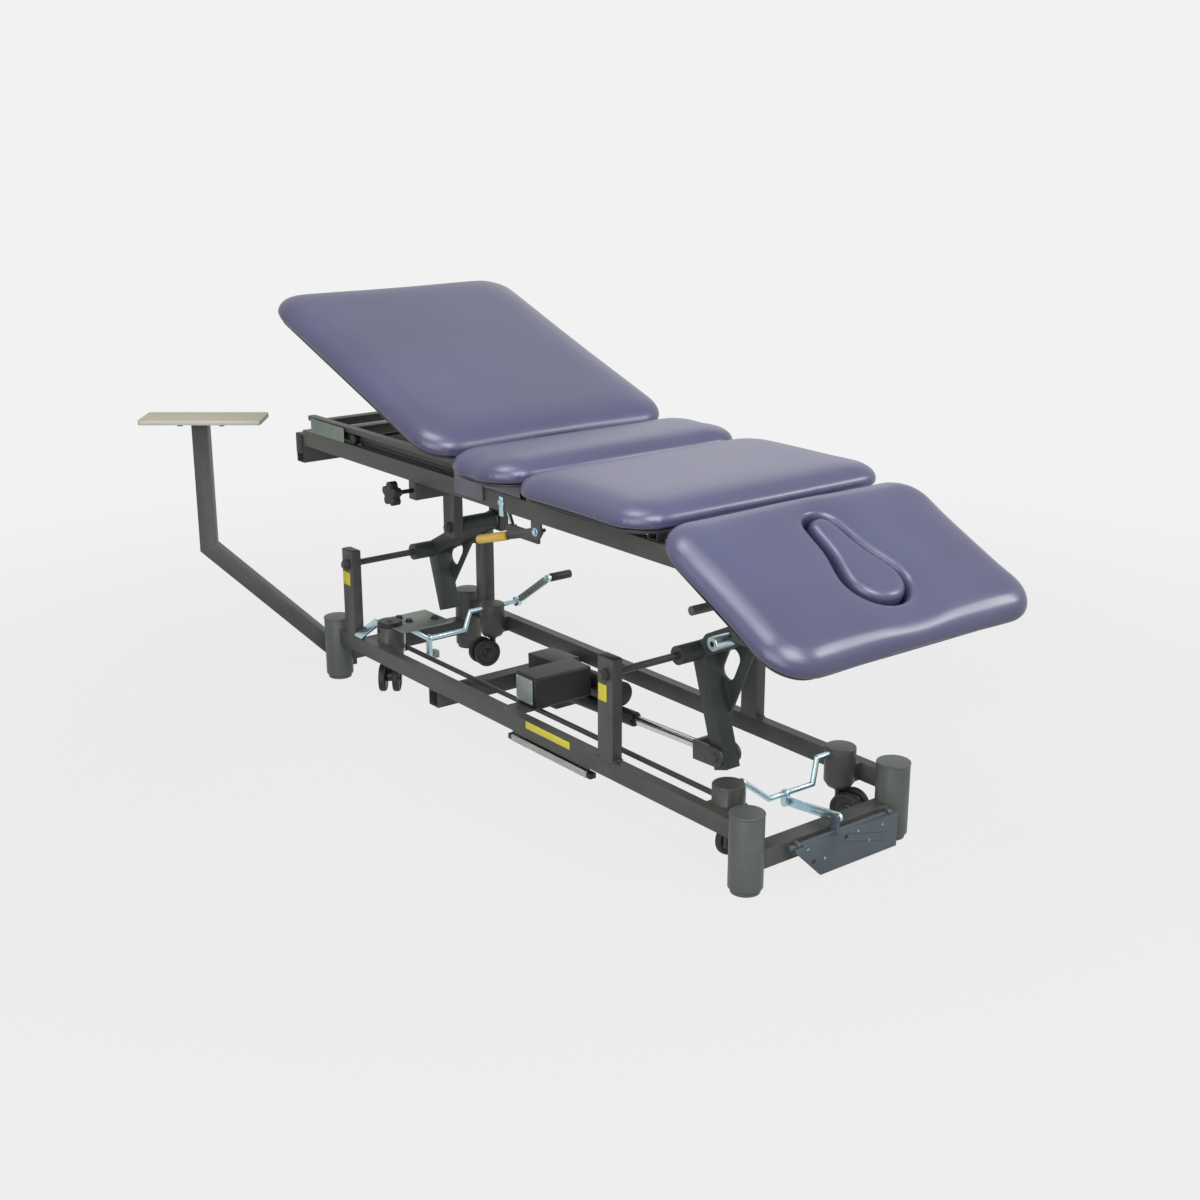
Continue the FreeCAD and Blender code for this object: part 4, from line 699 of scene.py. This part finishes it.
def tilted(hinge, tilt):
    """Turn by a section's tilt about its hinge; a level section has none."""
    about = Matrix.Translation(hinge or (0, 0, 0))
    return about @ Matrix.Rotation(math.radians(tilt), 4, "Y") @ about.inverted()


def upholstered(piece, body, cad_node, hinge, tilt):
    """Smooth the cushion, turn it to its section's tilt and put it on its body."""
    modify(piece, "SMOOTH", factor=0.5, iterations=3)
    modify(piece, "SUBSURF", levels=1, render_levels=1)
    applied(piece)
    piece.data.transform(tilted(hinge, tilt))
    shade(piece.data, 180)
    piece.data.materials.clear()
    piece.data.materials.append(PURPLE_VINYL)
    put_on(piece, body, cad_node)
    print(piece.name, len(piece.data.polygons), "faces")


# %% The four cushions
LONG_TILT, HEAD_TILT = 19.8, 27.08
# In metres: from the hinge along to the cushion, its length or its far end, and from the hinge up to its underside
LONG_GAP, LONG_LENGTH, LONG_RISE = 0.024, 0.780, 0.016
HEAD_GAP, HEAD_END, HEAD_RISE = 0.005, 0.425, 0.020
VOXEL_MM = 7

long_hinge, head_hinge = Vector(JOINT_AT["long_tilt"]), Vector(JOINT_AT["head_tilt"])
# x at both ends and the underside of each cushion, before its section is tilted
long_x = (long_hinge.x - LONG_GAP - LONG_LENGTH, long_hinge.x - LONG_GAP)
long_under = long_hinge.z + LONG_RISE
narrow_low, narrow_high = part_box("narrow_pad")
middle_low, middle_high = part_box("middle_pad")
head_x = (head_hinge.x + HEAD_GAP, head_hinge.x + HEAD_END)
head_under = head_hinge.z + HEAD_RISE

CUSHIONS = (
    ("long_cushion", "long_section", "long_pad", long_x, long_under, long_hinge, LONG_TILT),
    ("narrow_cushion", "carriage", "narrow_pad", (narrow_low.x, narrow_high.x), narrow_low.z, None, 0.0),
    ("middle_cushion", "upper_frame", "middle_pad", (middle_low.x, middle_high.x), middle_low.z, None, 0.0),
)
for name, body, cad_node, x, under, hinge, tilt in CUSHIONS:
    piece = pad_form(name, x, under)
    remeshed(piece, VOXEL_MM)
    swell(piece, under)
    upholstered(piece, body, cad_node, hinge, tilt)

# %% [markdown]
# ## Head cushion and face plug
# The head cushion has a keyhole for the face, filled by a loose plug of the same foam and vinyl. The hole's rim
# is rolled over like the outer edge. The plug is smaller all round and never sits quite in the middle, so a dark
# line runs between, wider on the near side. The hole is cut from the finished form, because rings can't go round it.

# %% Head cushion and plug
NARROW_AT = 0.110
WIDE_AT = 0.260
NARROW_R = 0.040
WIDE_R = 0.072
PLUG_GAP = 0.0100
PLUG_SIT = (-0.002, 0.0055)
HEAD_VOXEL_MM, PLUG_VOXEL_MM = 6, 4
# Height above the underside and widening of the hole, in millimetres: the rim rolls outward at the top
HOLE_RINGS = ((-8.0, 0.0), (26.0, 0.0), (33.0, 0.8), (38.5, 3.0), (42.5, 6.5), (45.0, 11.5), (52.0, 20.0))
# Height and inset of the plug's side, in millimetres: it stands a little proud of the cushion
PLUG_RINGS = ((0.4, 2.5), (3.0, 0.6), (8.0, 0.0), (30.0, 0.0), (36.0, 0.8), (41.0, 2.8), (45.0, 6.2), (48.0, 11.0),
              (49.8, 17.0), (50.6, 24.0))

reach = WIDE_AT - NARROW_AT
hole_x = head_x[0] + NARROW_AT
cutter = ring_solid("face_hole", [(keyhole(hole_x, reach, NARROW_R + wide * MM, WIDE_R + wide * MM),
                                   head_under + high * MM) for high, wide in HOLE_RINGS])
head_cushion = pad_form("head_cushion", head_x, head_under)
modify(head_cushion, "BOOLEAN", operation="DIFFERENCE", solver="EXACT", object=cutter)
applied(head_cushion)
bpy.data.objects.remove(cutter)
plug = ring_solid("face_cushion", [(keyhole(hole_x, reach, NARROW_R - PLUG_GAP - inset * MM,
                                            WIDE_R - PLUG_GAP - inset * MM), head_under + high * MM)
                                   for high, inset in PLUG_RINGS])
plug.data.transform(Matrix.Translation((*PLUG_SIT, 0)))
for piece, body, cad_node, voxel in ((head_cushion, "head_section", "head_pad", HEAD_VOXEL_MM),
                                     (plug, "face_plug", "face_plug", PLUG_VOXEL_MM)):
    remeshed(piece, voxel)
    if piece is head_cushion:
        swell(piece, head_under)
    upholstered(piece, body, cad_node, head_hinge, HEAD_TILT)

# %% [markdown]
# ## Fixings and welds
# Bolts, rivets, staples, ribs and weld beads repeat one small shape in many places. Each kind is a node group with
# named sizes: the places are the points of a mesh, which carry the direction that the shape is to face. The group
# puts the shape on each point, makes it real and gives it its finish, and the result is kept as a plain mesh.


# %% Node groups for fixings
# Shares of a bolt's radius, the washer's thickness, and shares of a bead's radius
CROWN, WASHER = 0.9, 1.3
WASHER_THICK = 1.3 * MM
BEAD_LEAST, BEAD_MOST, BEAD_PITCH = 0.8, 1.15, 1.1
BEAD_SEED = 7


def bolt_shape(tree, given):
    """Hexagon head on a washer, standing on its place."""
    crown = node(tree, "ShaderNodeMath", {0: given["Radius"], 1: CROWN}, operation="MULTIPLY")
    wide = node(tree, "ShaderNodeMath", {0: given["Radius"], 1: WASHER}, operation="MULTIPLY")
    head = node(tree, "GeometryNodeMeshCone", {
        "Vertices": 6, "Radius Bottom": given["Radius"], "Radius Top": crown, "Depth": given["Height"]})
    washer = node(tree, "GeometryNodeMeshCone", {
        "Vertices": 20, "Radius Bottom": wide, "Radius Top": wide, "Depth": WASHER_THICK})
    both = node(tree, "GeometryNodeJoinGeometry", {"Geometry": washer})
    tree.links.new(head.outputs[0], both.inputs[0])
    return both


def dome_shape(tree, given):
    """Low round head, half sunk in its place."""
    flat = node(tree, "ShaderNodeMath", {0: given["Height"], 1: given["Radius"]}, operation="DIVIDE")
    squeeze = node(tree, "ShaderNodeCombineXYZ", {"X": 1.0, "Y": 1.0, "Z": flat})
    ball = node(tree, "GeometryNodeMeshUVSphere", {"Segments": 16, "Rings": 8, "Radius": given["Radius"]})
    return node(tree, "GeometryNodeTransform", {"Geometry": ball, "Scale": squeeze})


def rod_shape(tree, given):
    """Short round bar, centred on its place and lying along its direction."""
    return node(tree, "GeometryNodeMeshCylinder", {
        "Vertices": 10, "Radius": given["Radius"], "Depth": given["Height"]})


def start_group(name, **inputs):
    """Empty node group with named inputs; returns the group and its input sockets."""
    group = bpy.data.node_groups.new(name, "GeometryNodeTree")
    for label, kind in inputs.items():
        group.interface.new_socket(label, in_out="INPUT", socket_type="NodeSocket" + kind)
    group.interface.new_socket("Pieces", in_out="OUTPUT", socket_type="NodeSocketGeometry")
    return group, node(group, "NodeGroupInput").outputs


def end_group(group, placed, given):
    """Make the instances real, give them their finish and hand them out."""
    real = node(group, "GeometryNodeRealizeInstances", {"Geometry": placed})
    done = node(group, "GeometryNodeSetMaterial", {"Geometry": real, "Material": given["Finish"]})
    node(group, "NodeGroupOutput", {0: done})
    return group


def fixing_group(name, shape_of):
    """Group that puts a shape on every point, facing the point's own direction."""
    group, given = start_group(name, Places="Geometry", Radius="Float", Height="Float", Finish="Material")
    aim = node(group, "GeometryNodeInputNamedAttribute", {"Name": "aim"}, data_type="FLOAT_VECTOR")
    turn = node(group, "FunctionNodeAlignRotationToVector", {"Vector": aim}, axis="Z")
    placed = node(group, "GeometryNodeInstanceOnPoints", {
        "Points": given["Places"], "Rotation": turn, "Instance": shape_of(group, given)})
    return end_group(group, placed, given)


def weld_group(name):
    """Group that lays overlapping beads of slightly varied size along the edges of a mesh."""
    group, given = start_group(name, Path="Geometry", Pitch="Float", Bead="Float", Seed="Int", Finish="Material")
    curve = node(group, "GeometryNodeMeshToCurve", {"Mesh": given["Path"]})
    even = node(group, "GeometryNodeResampleCurve", {"Curve": curve, "Length": given["Pitch"]}, mode="LENGTH")
    size = node(group, "FunctionNodeRandomValue", {2: BEAD_LEAST, 3: BEAD_MOST, "Seed": given["Seed"]},
                data_type="FLOAT")
    bead = node(group, "GeometryNodeMeshIcoSphere", {"Radius": given["Bead"], "Subdivisions": 2})
    placed = node(group, "GeometryNodeInstanceOnPoints", {"Points": even, "Scale": size.outputs[1], "Instance": bead})
    return end_group(group, placed, given)


BOLTS = fixing_group("hex_bolts", bolt_shape)
DOMES = fixing_group("round_heads", dome_shape)
RODS = fixing_group("short_rods", rod_shape)
WELDS = weld_group("weld_beads")
print("node groups:", len(bpy.data.node_groups))


# %% From places to a plain mesh
def grown(piece, group, sizes, body):
    """Run a node group on a piece, keep the result as a plain mesh and put it on its body."""
    modifier = modify(piece, "NODES", node_group=group)
    for item in group.interface.items_tree:
        if item.in_out == "INPUT" and item.name in sizes:
            modifier[item.identifier] = sizes[item.name]
    applied(piece)
    shade(piece.data, 40)
    put_on(piece, body)
    print(piece.name, len(piece.data.polygons), "faces")


def fixings(name, group, places, radius_mm, height_mm, material, body):
    """Fixings of one kind on one body; places are (point in millimetres, direction)."""
    mesh = bpy.data.meshes.new(name)
    mesh.from_pydata([Vector(point) * MM for point, aim in places], [], [])
    aims = mesh.attributes.new("aim", "FLOAT_VECTOR", "POINT")
    aims.data.foreach_set("vector", [c for _, aim in places for c in aim])
    sizes = {"Radius": radius_mm * MM, "Height": height_mm * MM, "Finish": material}
    grown(new_object(name, mesh), group, sizes, body)


def welds(name, lines, bead_mm, body):
    """Weld beads along lines of points in millimetres, on one body."""
    points, edges = [], []
    for line in lines:
        edges += [(len(points) + k, len(points) + k + 1) for k in range(len(line) - 1)]
        points += [Vector(p) * MM for p in line]
    mesh = bpy.data.meshes.new(name)
    mesh.from_pydata(points, edges, [])
    sizes = {"Pitch": BEAD_PITCH * bead_mm * MM, "Bead": bead_mm * MM, "Seed": BEAD_SEED, "Finish": CHARCOAL}
    grown(new_object(name, mesh), WELDS, sizes, body)


# %% [markdown]
# ## Bolts, rivets and welds of the frame
# The big pins carry hexagon heads at both ends. The posts are welded to the rails, the hangers to the cross tubes
# and the rails to the pillars, and all of it is coated after welding, so the beads are the colour of the steel. The
# places come from the joints and from the boxes of the nodes, so the fixings follow the CAD model.

# %% Bolts and rivets
NEAR, FAR, UP, AHEAD = (0, -1, 0), (0, 1, 0), (0, 0, 1), (1, 0, 0)
RAIL_FACE = 247.0


def box_mm(name):
    """Low and high corner of a CAD node, in millimetres."""
    return [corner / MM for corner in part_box(name)]


def pin_ends(pins, box):
    """Places at the near and the far end of through pins."""
    return [((p.x, corner.y, p.z), aim) for corner, aim in zip(box, (NEAR, FAR)) for p in pins]


head_shaft, foot_shaft = Vector(JOINT_AT["lift"]) / MM, Vector(JOINT_AT["foot_crank_turn"]) / MM
head_pivot = Vector(JOINT_AT["frame_level"]) / MM
foot_pivot = head_pivot + foot_shaft - head_shaft
release = Vector(JOINT_AT["release_pull"]) / MM
pin_low, pin_high = box_mm("hangers")
plate_low, plate_high = box_mm("castor_plate")
box_low, box_high = box_mm("control_box")
guard_low, guard_high = box_mm("end_guards")
pedal_face = box_mm("castor_pedal")[1].x

places = pin_ends((head_shaft, foot_shaft), box_mm("lift_shafts"))
fixings("shaft_bolts", BOLTS, places, 10.5, 6, CHARCOAL, "base")
places = pin_ends((head_pivot, foot_pivot), (pin_low, pin_high))
fixings("hanger_bolts", BOLTS, places, 9, 5, CHARCOAL, "upper_frame")
places = [((plate_low.x + dx, plate_low.y + dy, plate_high.z), UP) for dx, dy in ((37, 111), (75, 118), (94, 183))]
fixings("castor_plate_bolts", BOLTS, places, 8.5, 7, BLACK_PLASTIC, "base")
places = [((x, box_low.y, z), NEAR) for x in (box_low.x + 11, box_low.x + 65)
          for z in (box_low.z + 13, box_high.z - 9)]
fixings("box_screws", DOMES, places, 2.6, 1.4, ZINC, "base")
fixings("release_bolt", BOLTS, [((release.x, -RAIL_FACE, release.z), NEAR)], 7, 5, ZINC, "upper_frame")
places = [((pedal_face, y, z), AHEAD) for y, z in ((-92, 74), (-44, 42), (48, 74), (81, 45), (118, 68))]
fixings("pedal_rivets", DOMES, places, 3.6, 2.0, DULL_ZINC, "castor_pedal")
places = [((pedal_face, y, z), AHEAD) for y, z in ((14, 72), (-75, 45))]
fixings("pedal_plugs", DOMES, places, 5.5, 1.6, BLACK_PLASTIC, "castor_pedal")
places = [((x, s * guard_high.y, guard_low.z + 10), (0, s, 0)) for s in (-1, 1)
          for x in (guard_low.x + 16, (guard_low.x + guard_high.x) / 2, guard_high.x - 16)]
fixings("guard_rivets", DOMES, places, 4, 1.8, DULL_ZINC, "upper_frame")

# %% Welds
RAIL_WIDE = 25.0
PILLAR_R = 35.0
HALF_POST, HALF_HANGER = 25, 20
HANGER_Y = ((-49, -24), (88, 113))
BRACKET_Y = 222
ARC_PARTS = 6

post_low, post_high = box_mm("posts")
rail_low, rail_high = box_mm("base_rails")
side_low, side_high = box_mm("side_rails")
pillar_high = box_mm("pillars")[1]
rail_in = rail_high.y - RAIL_WIDE
pillar_x, pillar_y = pillar_high.x - PILLAR_R, pillar_high.y - PILLAR_R
lines = []
for s in (-1, 1):
    for p in (head_shaft, foot_shaft):
        for x in (p.x - HALF_POST, p.x + HALF_POST):
            lines.append([(x, s * rail_in, post_low.z), (x, s * rail_high.y, post_low.z)])
    for e in (-1, 1):
        arc = [s * (rail_in + RAIL_WIDE * k / ARC_PARTS) for k in range(ARC_PARTS + 1)]
        lines.append([(e * (pillar_x - math.sqrt(PILLAR_R ** 2 - (abs(y) - pillar_y) ** 2)), y, rail_high.z)
                      for y in arc])
        for y in (rail_in, rail_high.y):
            lines.append([(e * rail_high.x, s * y, rail_low.z), (e * rail_high.x, s * y, rail_high.z)])
welds("base_welds", lines, 2.6, "base")
lines = []
for p in (head_pivot, foot_pivot):
    for x in (p.x - HALF_HANGER, p.x + HALF_HANGER):
        lines += [[(x, a, side_low.z), (x, b, side_low.z)] for a, b in HANGER_Y]
        lines += [[(x, s * BRACKET_Y, side_low.z + 1), (x, s * BRACKET_Y, side_high.z - 1)] for s in (-1, 1)]
welds("upper_welds", lines, 2.4, "upper_frame")

# %% [markdown]
# ## Moulded and plated small parts
# Black plugs close the tubes, and the strips on posts and rail are plain yellow film. The hand lever is a flat bar,
# and its hook carries a pale clevis. A black strip stands deep in the gap that the carriage slides on: painted shade,
# so the open groove reads dark. A valance beside it is charcoal coat with a painted reflection of the purple cushions.
# The foot switch is a ribbed strip, and the pedal has pressed ridges. Nearly all of them are blocks with soft edges,
# so two helpers make them. The bush and the cap are turned like the wheels, and the ribs are short rods.


# %% Rounded blocks
def rounded(name, low, high, radius_mm, material):
    """Block between two corners in millimetres, with rounded edges."""
    shape = bmesh.new()
    bmesh.ops.create_cube(shape, size=1.0)
    for v in shape.verts:
        v.co = Vector([(b if c > 0 else a) * MM for a, b, c in zip(low, high, v.co)])
    bmesh.ops.bevel(shape, geom=shape.edges[:], offset=radius_mm * MM, segments=3, profile=0.5, affect="EDGES")
    bmesh.ops.recalc_face_normals(shape, faces=shape.faces)
    mesh = mesh_of(shape, name)
    mesh.materials.append(material)
    shade(mesh)
    return new_object(name, mesh)


def both_sides(name, low, high, radius_mm, material):
    """A rounded block given on the far side, and its mirror image on the near side."""
    return [rounded(name, (low[0], -high[1], low[2]), (high[0], -low[1], high[2]), radius_mm, material),
            rounded(name, low, high, radius_mm, material)]


# %% Tube plugs
PLUG_LIP = 1.8
PLUG_ROUND = 0.8
PLUG_HALF = 24
RAIL_PLUG_Y = (223, 246)
POST_PLUG_Y = (193, 216)
HANGER_PLUG_Y = ((-48, -25), (89, 112))
TUBE_TOP = 643.8

tube = box_mm("upper_cross_tubes")[0]
plugs = both_sides("plug", (side_high.x, RAIL_PLUG_Y[0], side_low.z + 1),
                   (side_high.x + PLUG_LIP, RAIL_PLUG_Y[1], side_high.z - 1), PLUG_ROUND, BLACK_PLASTIC)
plugs += [rounded("plug", (p.x - PLUG_HALF, y0, pin_low.z - PLUG_LIP), (p.x + PLUG_HALF, y1, pin_low.z),
                  PLUG_ROUND, BLACK_PLASTIC) for p in (head_pivot, foot_pivot) for y0, y1 in HANGER_PLUG_Y]
plugs += both_sides("plug", (tube.x + 1, RAIL_FACE, tube.z + 47), (tube.x + 35, RAIL_FACE + PLUG_LIP, TUBE_TOP),
                    PLUG_ROUND, BLACK_PLASTIC)
put_on(joined("upper_tube_plugs", plugs), "upper_frame")
plugs = []
for p in (head_shaft, foot_shaft):
    plugs += both_sides("plug", (p.x - PLUG_HALF, POST_PLUG_Y[0], post_high.z),
                        (p.x + PLUG_HALF, POST_PLUG_Y[1], post_high.z + PLUG_LIP), PLUG_ROUND, BLACK_PLASTIC)
put_on(joined("post_plugs", plugs), "base")
print("tube plugs done")

# %% Yellow film on the posts and the near rail
FILM_THICK = 0.6
strips = [rounded("strip", (x0, rail_low.y - FILM_THICK, z0), (x1, rail_low.y, z1), 0.25, YELLOW_FILM)
          for x0, x1, z0, z1 in
          ((foot_shaft.x - 23, foot_shaft.x + 11, 273, 307), (head_shaft.x - 23, head_shaft.x + 5, 268, 305),
           (78, 240, rail_high.z - 19, rail_high.z - 2))]
put_on(joined("yellow_strips", strips), "base")
print("yellow strips done")

# %% Bush on the head crank and latch on the rail
BUSH_SECTION = ((6.0, 0.0), (14.5, 0.0), (15.5, 1.0), (15.5, 56.0), (6.0, 56.0))
bush_x = head_shaft.x + 108
bush = turned("crank_bush", BUSH_SECTION, Vector((bush_x, -20, head_shaft.z + 54)) * MM, (0, 1, 0), lambda r: ZINC)
put_on(bush, "head_crank")
latch = [rounded("latch", (36, -250, 606), (50, -RAIL_FACE, 650), 1.0, ZINC),
         rounded("latch", (33, -251, 630), (53, -RAIL_FACE, 640), 1.2, ZINC)]
put_on(joined("rail_latch", latch), "upper_frame")
print("plated pieces done")

# %% Hand lever and the clevis on its hook
GRIP_R = 11.0
LEVER_Y = 240.0
HALF_DEEP, HALF_HIGH = 6.5, 8.5
FROM_ROD, IN_GRIP = 20, 12
lever_low, lever_high = box_mm("cross_rod_foot")
rod_at = Vector(JOINT_AT["cross_rod_foot_turn"]) / MM
tip = Vector((lever_high.x - GRIP_R, LEVER_Y, lever_high.z - GRIP_R))
rod_at.y = LEVER_Y
reach_out = (tip - rod_at).length
bar = rounded("lever_bar", (FROM_ROD, -HALF_DEEP, -HALF_HIGH), (reach_out - IN_GRIP, HALF_DEEP, HALF_HIGH), 2.0,
              DULL_ZINC)
lean_up = Matrix.Rotation(-math.atan2(tip.z - rod_at.z, tip.x - rod_at.x), 4, "Y")
bar.data.transform(Matrix.Translation(rod_at * MM) @ lean_up)
put_on(bar, "cross_rod_foot")
clevis = rounded("hook_clevis", (rod_at.x - 10, -31, lever_low.z - 4), (rod_at.x + 12, -18, lever_low.z + 16), 2.5,
                 GREY_PLASTIC)
put_on(clevis, "cross_rod_foot")
print("lever done")

# %% Carriage trims
# Black strips deep in the groove that the carriage slides on: painted shade, so the open groove reads dark
GROOVE_SHADE_X, GROOVE_SHADE_Y, GROOVE_SHADE_RISE = (-580, 100), (226.2, 230), (0.7, 11)
# The valances are charcoal coat with a painted reflection of the purple cushions in their colour
VALANCE_END, VALANCE_Y, VALANCE_RISE = 116, (248.5, 251.5), (2.5, 22)
valance_start = box_mm("narrow_pad")[0].x + 40
for name, x, y, rise, radius, material, slot in (
        ("slide_strips", GROOVE_SHADE_X, GROOVE_SHADE_Y, GROOVE_SHADE_RISE, 0.6, BLACK_PLASTIC, "black_plastic"),
        ("valances", (valance_start, VALANCE_END), VALANCE_Y, VALANCE_RISE, 0.8, CUSHION_REFLECTION_COAT, "powder_coat")):
    pair = both_sides("trim", (x[0], y[0], side_high.z + rise[0]), (x[1], y[1], side_high.z + rise[1]), radius,
                      material)
    put_on(joined(name, pair), "carriage")
print("carriage trims done")

# %% Cap over the near castor housing at the foot end
CAP_SECTION = ((2.5, 0.0), (30.0, 0.0), (31.5, 1.5), (31.5, 10.0), (28.5, 13.0), (2.5, 13.0))
HOUSING_Y = -157.5
cap_at = Vector((rod_at.x, HOUSING_Y, box_mm("castor_housings")[1].z))
put_on(turned("stem_cap", CAP_SECTION, cap_at * MM, (0, 0, 1), lambda r: BLACK_PLASTIC), "base")
fixings("stem_bolt", BOLTS, [((cap_at.x, cap_at.y, cap_at.z + 12.9), UP)], 6, 4, CHARCOAL, "base")

# %% Ribbed foot switch
RIB_PITCH = 11.0
RIB_PROUD = 1.2
SWITCH_CAP = 14
switch_low, switch_high = box_mm("switch_bar")
ends = (switch_low.x + SWITCH_CAP, switch_high.x - SWITCH_CAP)
strip = rounded("switch_strip", (ends[0], switch_low.y - RIB_PROUD, switch_low.z - 0.6),
                (ends[1], switch_low.y + 4, switch_low.z + 12.6), 0.8, GREY_PLASTIC)
put_on(strip, "switch_bar")
count = int((ends[1] - ends[0] - 10) / RIB_PITCH)
places = [((ends[0] + 8 + k * RIB_PITCH, switch_low.y - RIB_PROUD, switch_low.z + 6), UP) for k in range(count + 1)]
fixings("switch_ribs", RODS, places, 2.6, 11, GREY_PLASTIC, "switch_bar")

# %% Pressed ridges of the pedal
# y and z at both ends of each ridge
RIDGE_LINES = ((22, 78, 136, 50), (18, 63, 137, 31))
ridges = []
for y0, z0, y1, z1 in RIDGE_LINES:
    ridge = rounded("ridge", (-1.2, 0, -2.2), (1.2, math.hypot(y1 - y0, z1 - z0), 2.2), 1.1, SLATE)
    slope = Matrix.Rotation(math.atan2(z1 - z0, y1 - y0), 4, "X")
    ridge.data.transform(Matrix.Translation(Vector((pedal_face, y0, z0)) * MM) @ slope)
    ridges.append(ridge)
put_on(joined("pedal_ridges", ridges), "castor_pedal")
print("small parts done")

# %% [markdown]
# ## Undersides of the cushions
# The vinyl is pulled round the edge of the board and stapled to its underside. The turned-under hem is a flat ring,
# and the staples follow it at an even pitch, along the edge. Both tilt with their section. Walking round the outline
# keeps the pitch even at the corners too, where a fixed number for each side wouldn't.

# %% Hems and staples
BOARD_THICK = 6.0 * MM
BOARD_INSET = 14.0
HEM_WIDTH = 34.0
HEM_THICK = 0.7 * MM
HEM_CORNER = 0.03
STAPLE_PITCH = 32.0
CLEAR_OF_RAILS = (205.0, 255.0)


def hem(name, x, under, body, hinge=None, tilt=0.0):
    """Hem and staples under one cushion; under is the height of the board's underside, before the tilt."""
    loops = []
    for inset in (BOARD_INSET + 1, BOARD_INSET + HEM_WIDTH):
        outline = pad_outline(x, inset * MM, HEM_CORNER, 0.0)
        loops += [(outline, under), (outline, under - HEM_THICK)]
    shape = bmesh.new()
    rings = [[shape.verts.new((p.x, p.y, z)) for p in outline] for outline, z in loops]
    for a, b in ((0, 1), (1, 3), (3, 2), (2, 0)):
        for i in range(len(rings[0])):
            j = (i + 1) % len(rings[0])
            shape.faces.new((rings[a][i], rings[a][j], rings[b][j], rings[b][i]))
    bmesh.ops.recalc_face_normals(shape, faces=shape.faces)
    mesh = mesh_of(shape, name + "_hem")
    mesh.materials.append(PURPLE_VINYL)
    turn = tilted(hinge, tilt)
    mesh.transform(turn)
    shade(mesh)
    put_on(new_object(name + "_hem", mesh), body)
    path = pad_outline(x, (BOARD_INSET + 0.55 * HEM_WIDTH) * MM, HEM_CORNER, 0.0)
    places, walked = [], 0.0
    for a, b in zip(path, path[1:] + path[:1]):
        walked += (b - a).length / MM
        if walked >= STAPLE_PITCH and not CLEAR_OF_RAILS[0] < abs(b.y) / MM < CLEAR_OF_RAILS[1]:
            walked = 0.0
            at = turn @ Vector((b.x, b.y, under - HEM_THICK))
            along = turn.to_3x3() @ Vector((b.x - a.x, b.y - a.y, 0)).normalized()
            places.append((at / MM, along))
    fixings(name + "_staples", RODS, places, 0.7, 10, ZINC, body)


hem("long", long_x, long_under - BOARD_THICK, "long_section", long_hinge, LONG_TILT)
hem("narrow", (narrow_low.x, narrow_high.x), narrow_low.z - BOARD_THICK, "carriage")
hem("middle", (middle_low.x, middle_high.x), middle_low.z - BOARD_THICK, "upper_frame")
hem("head", head_x, head_under - BOARD_THICK, "head_section", head_hinge, HEAD_TILT)
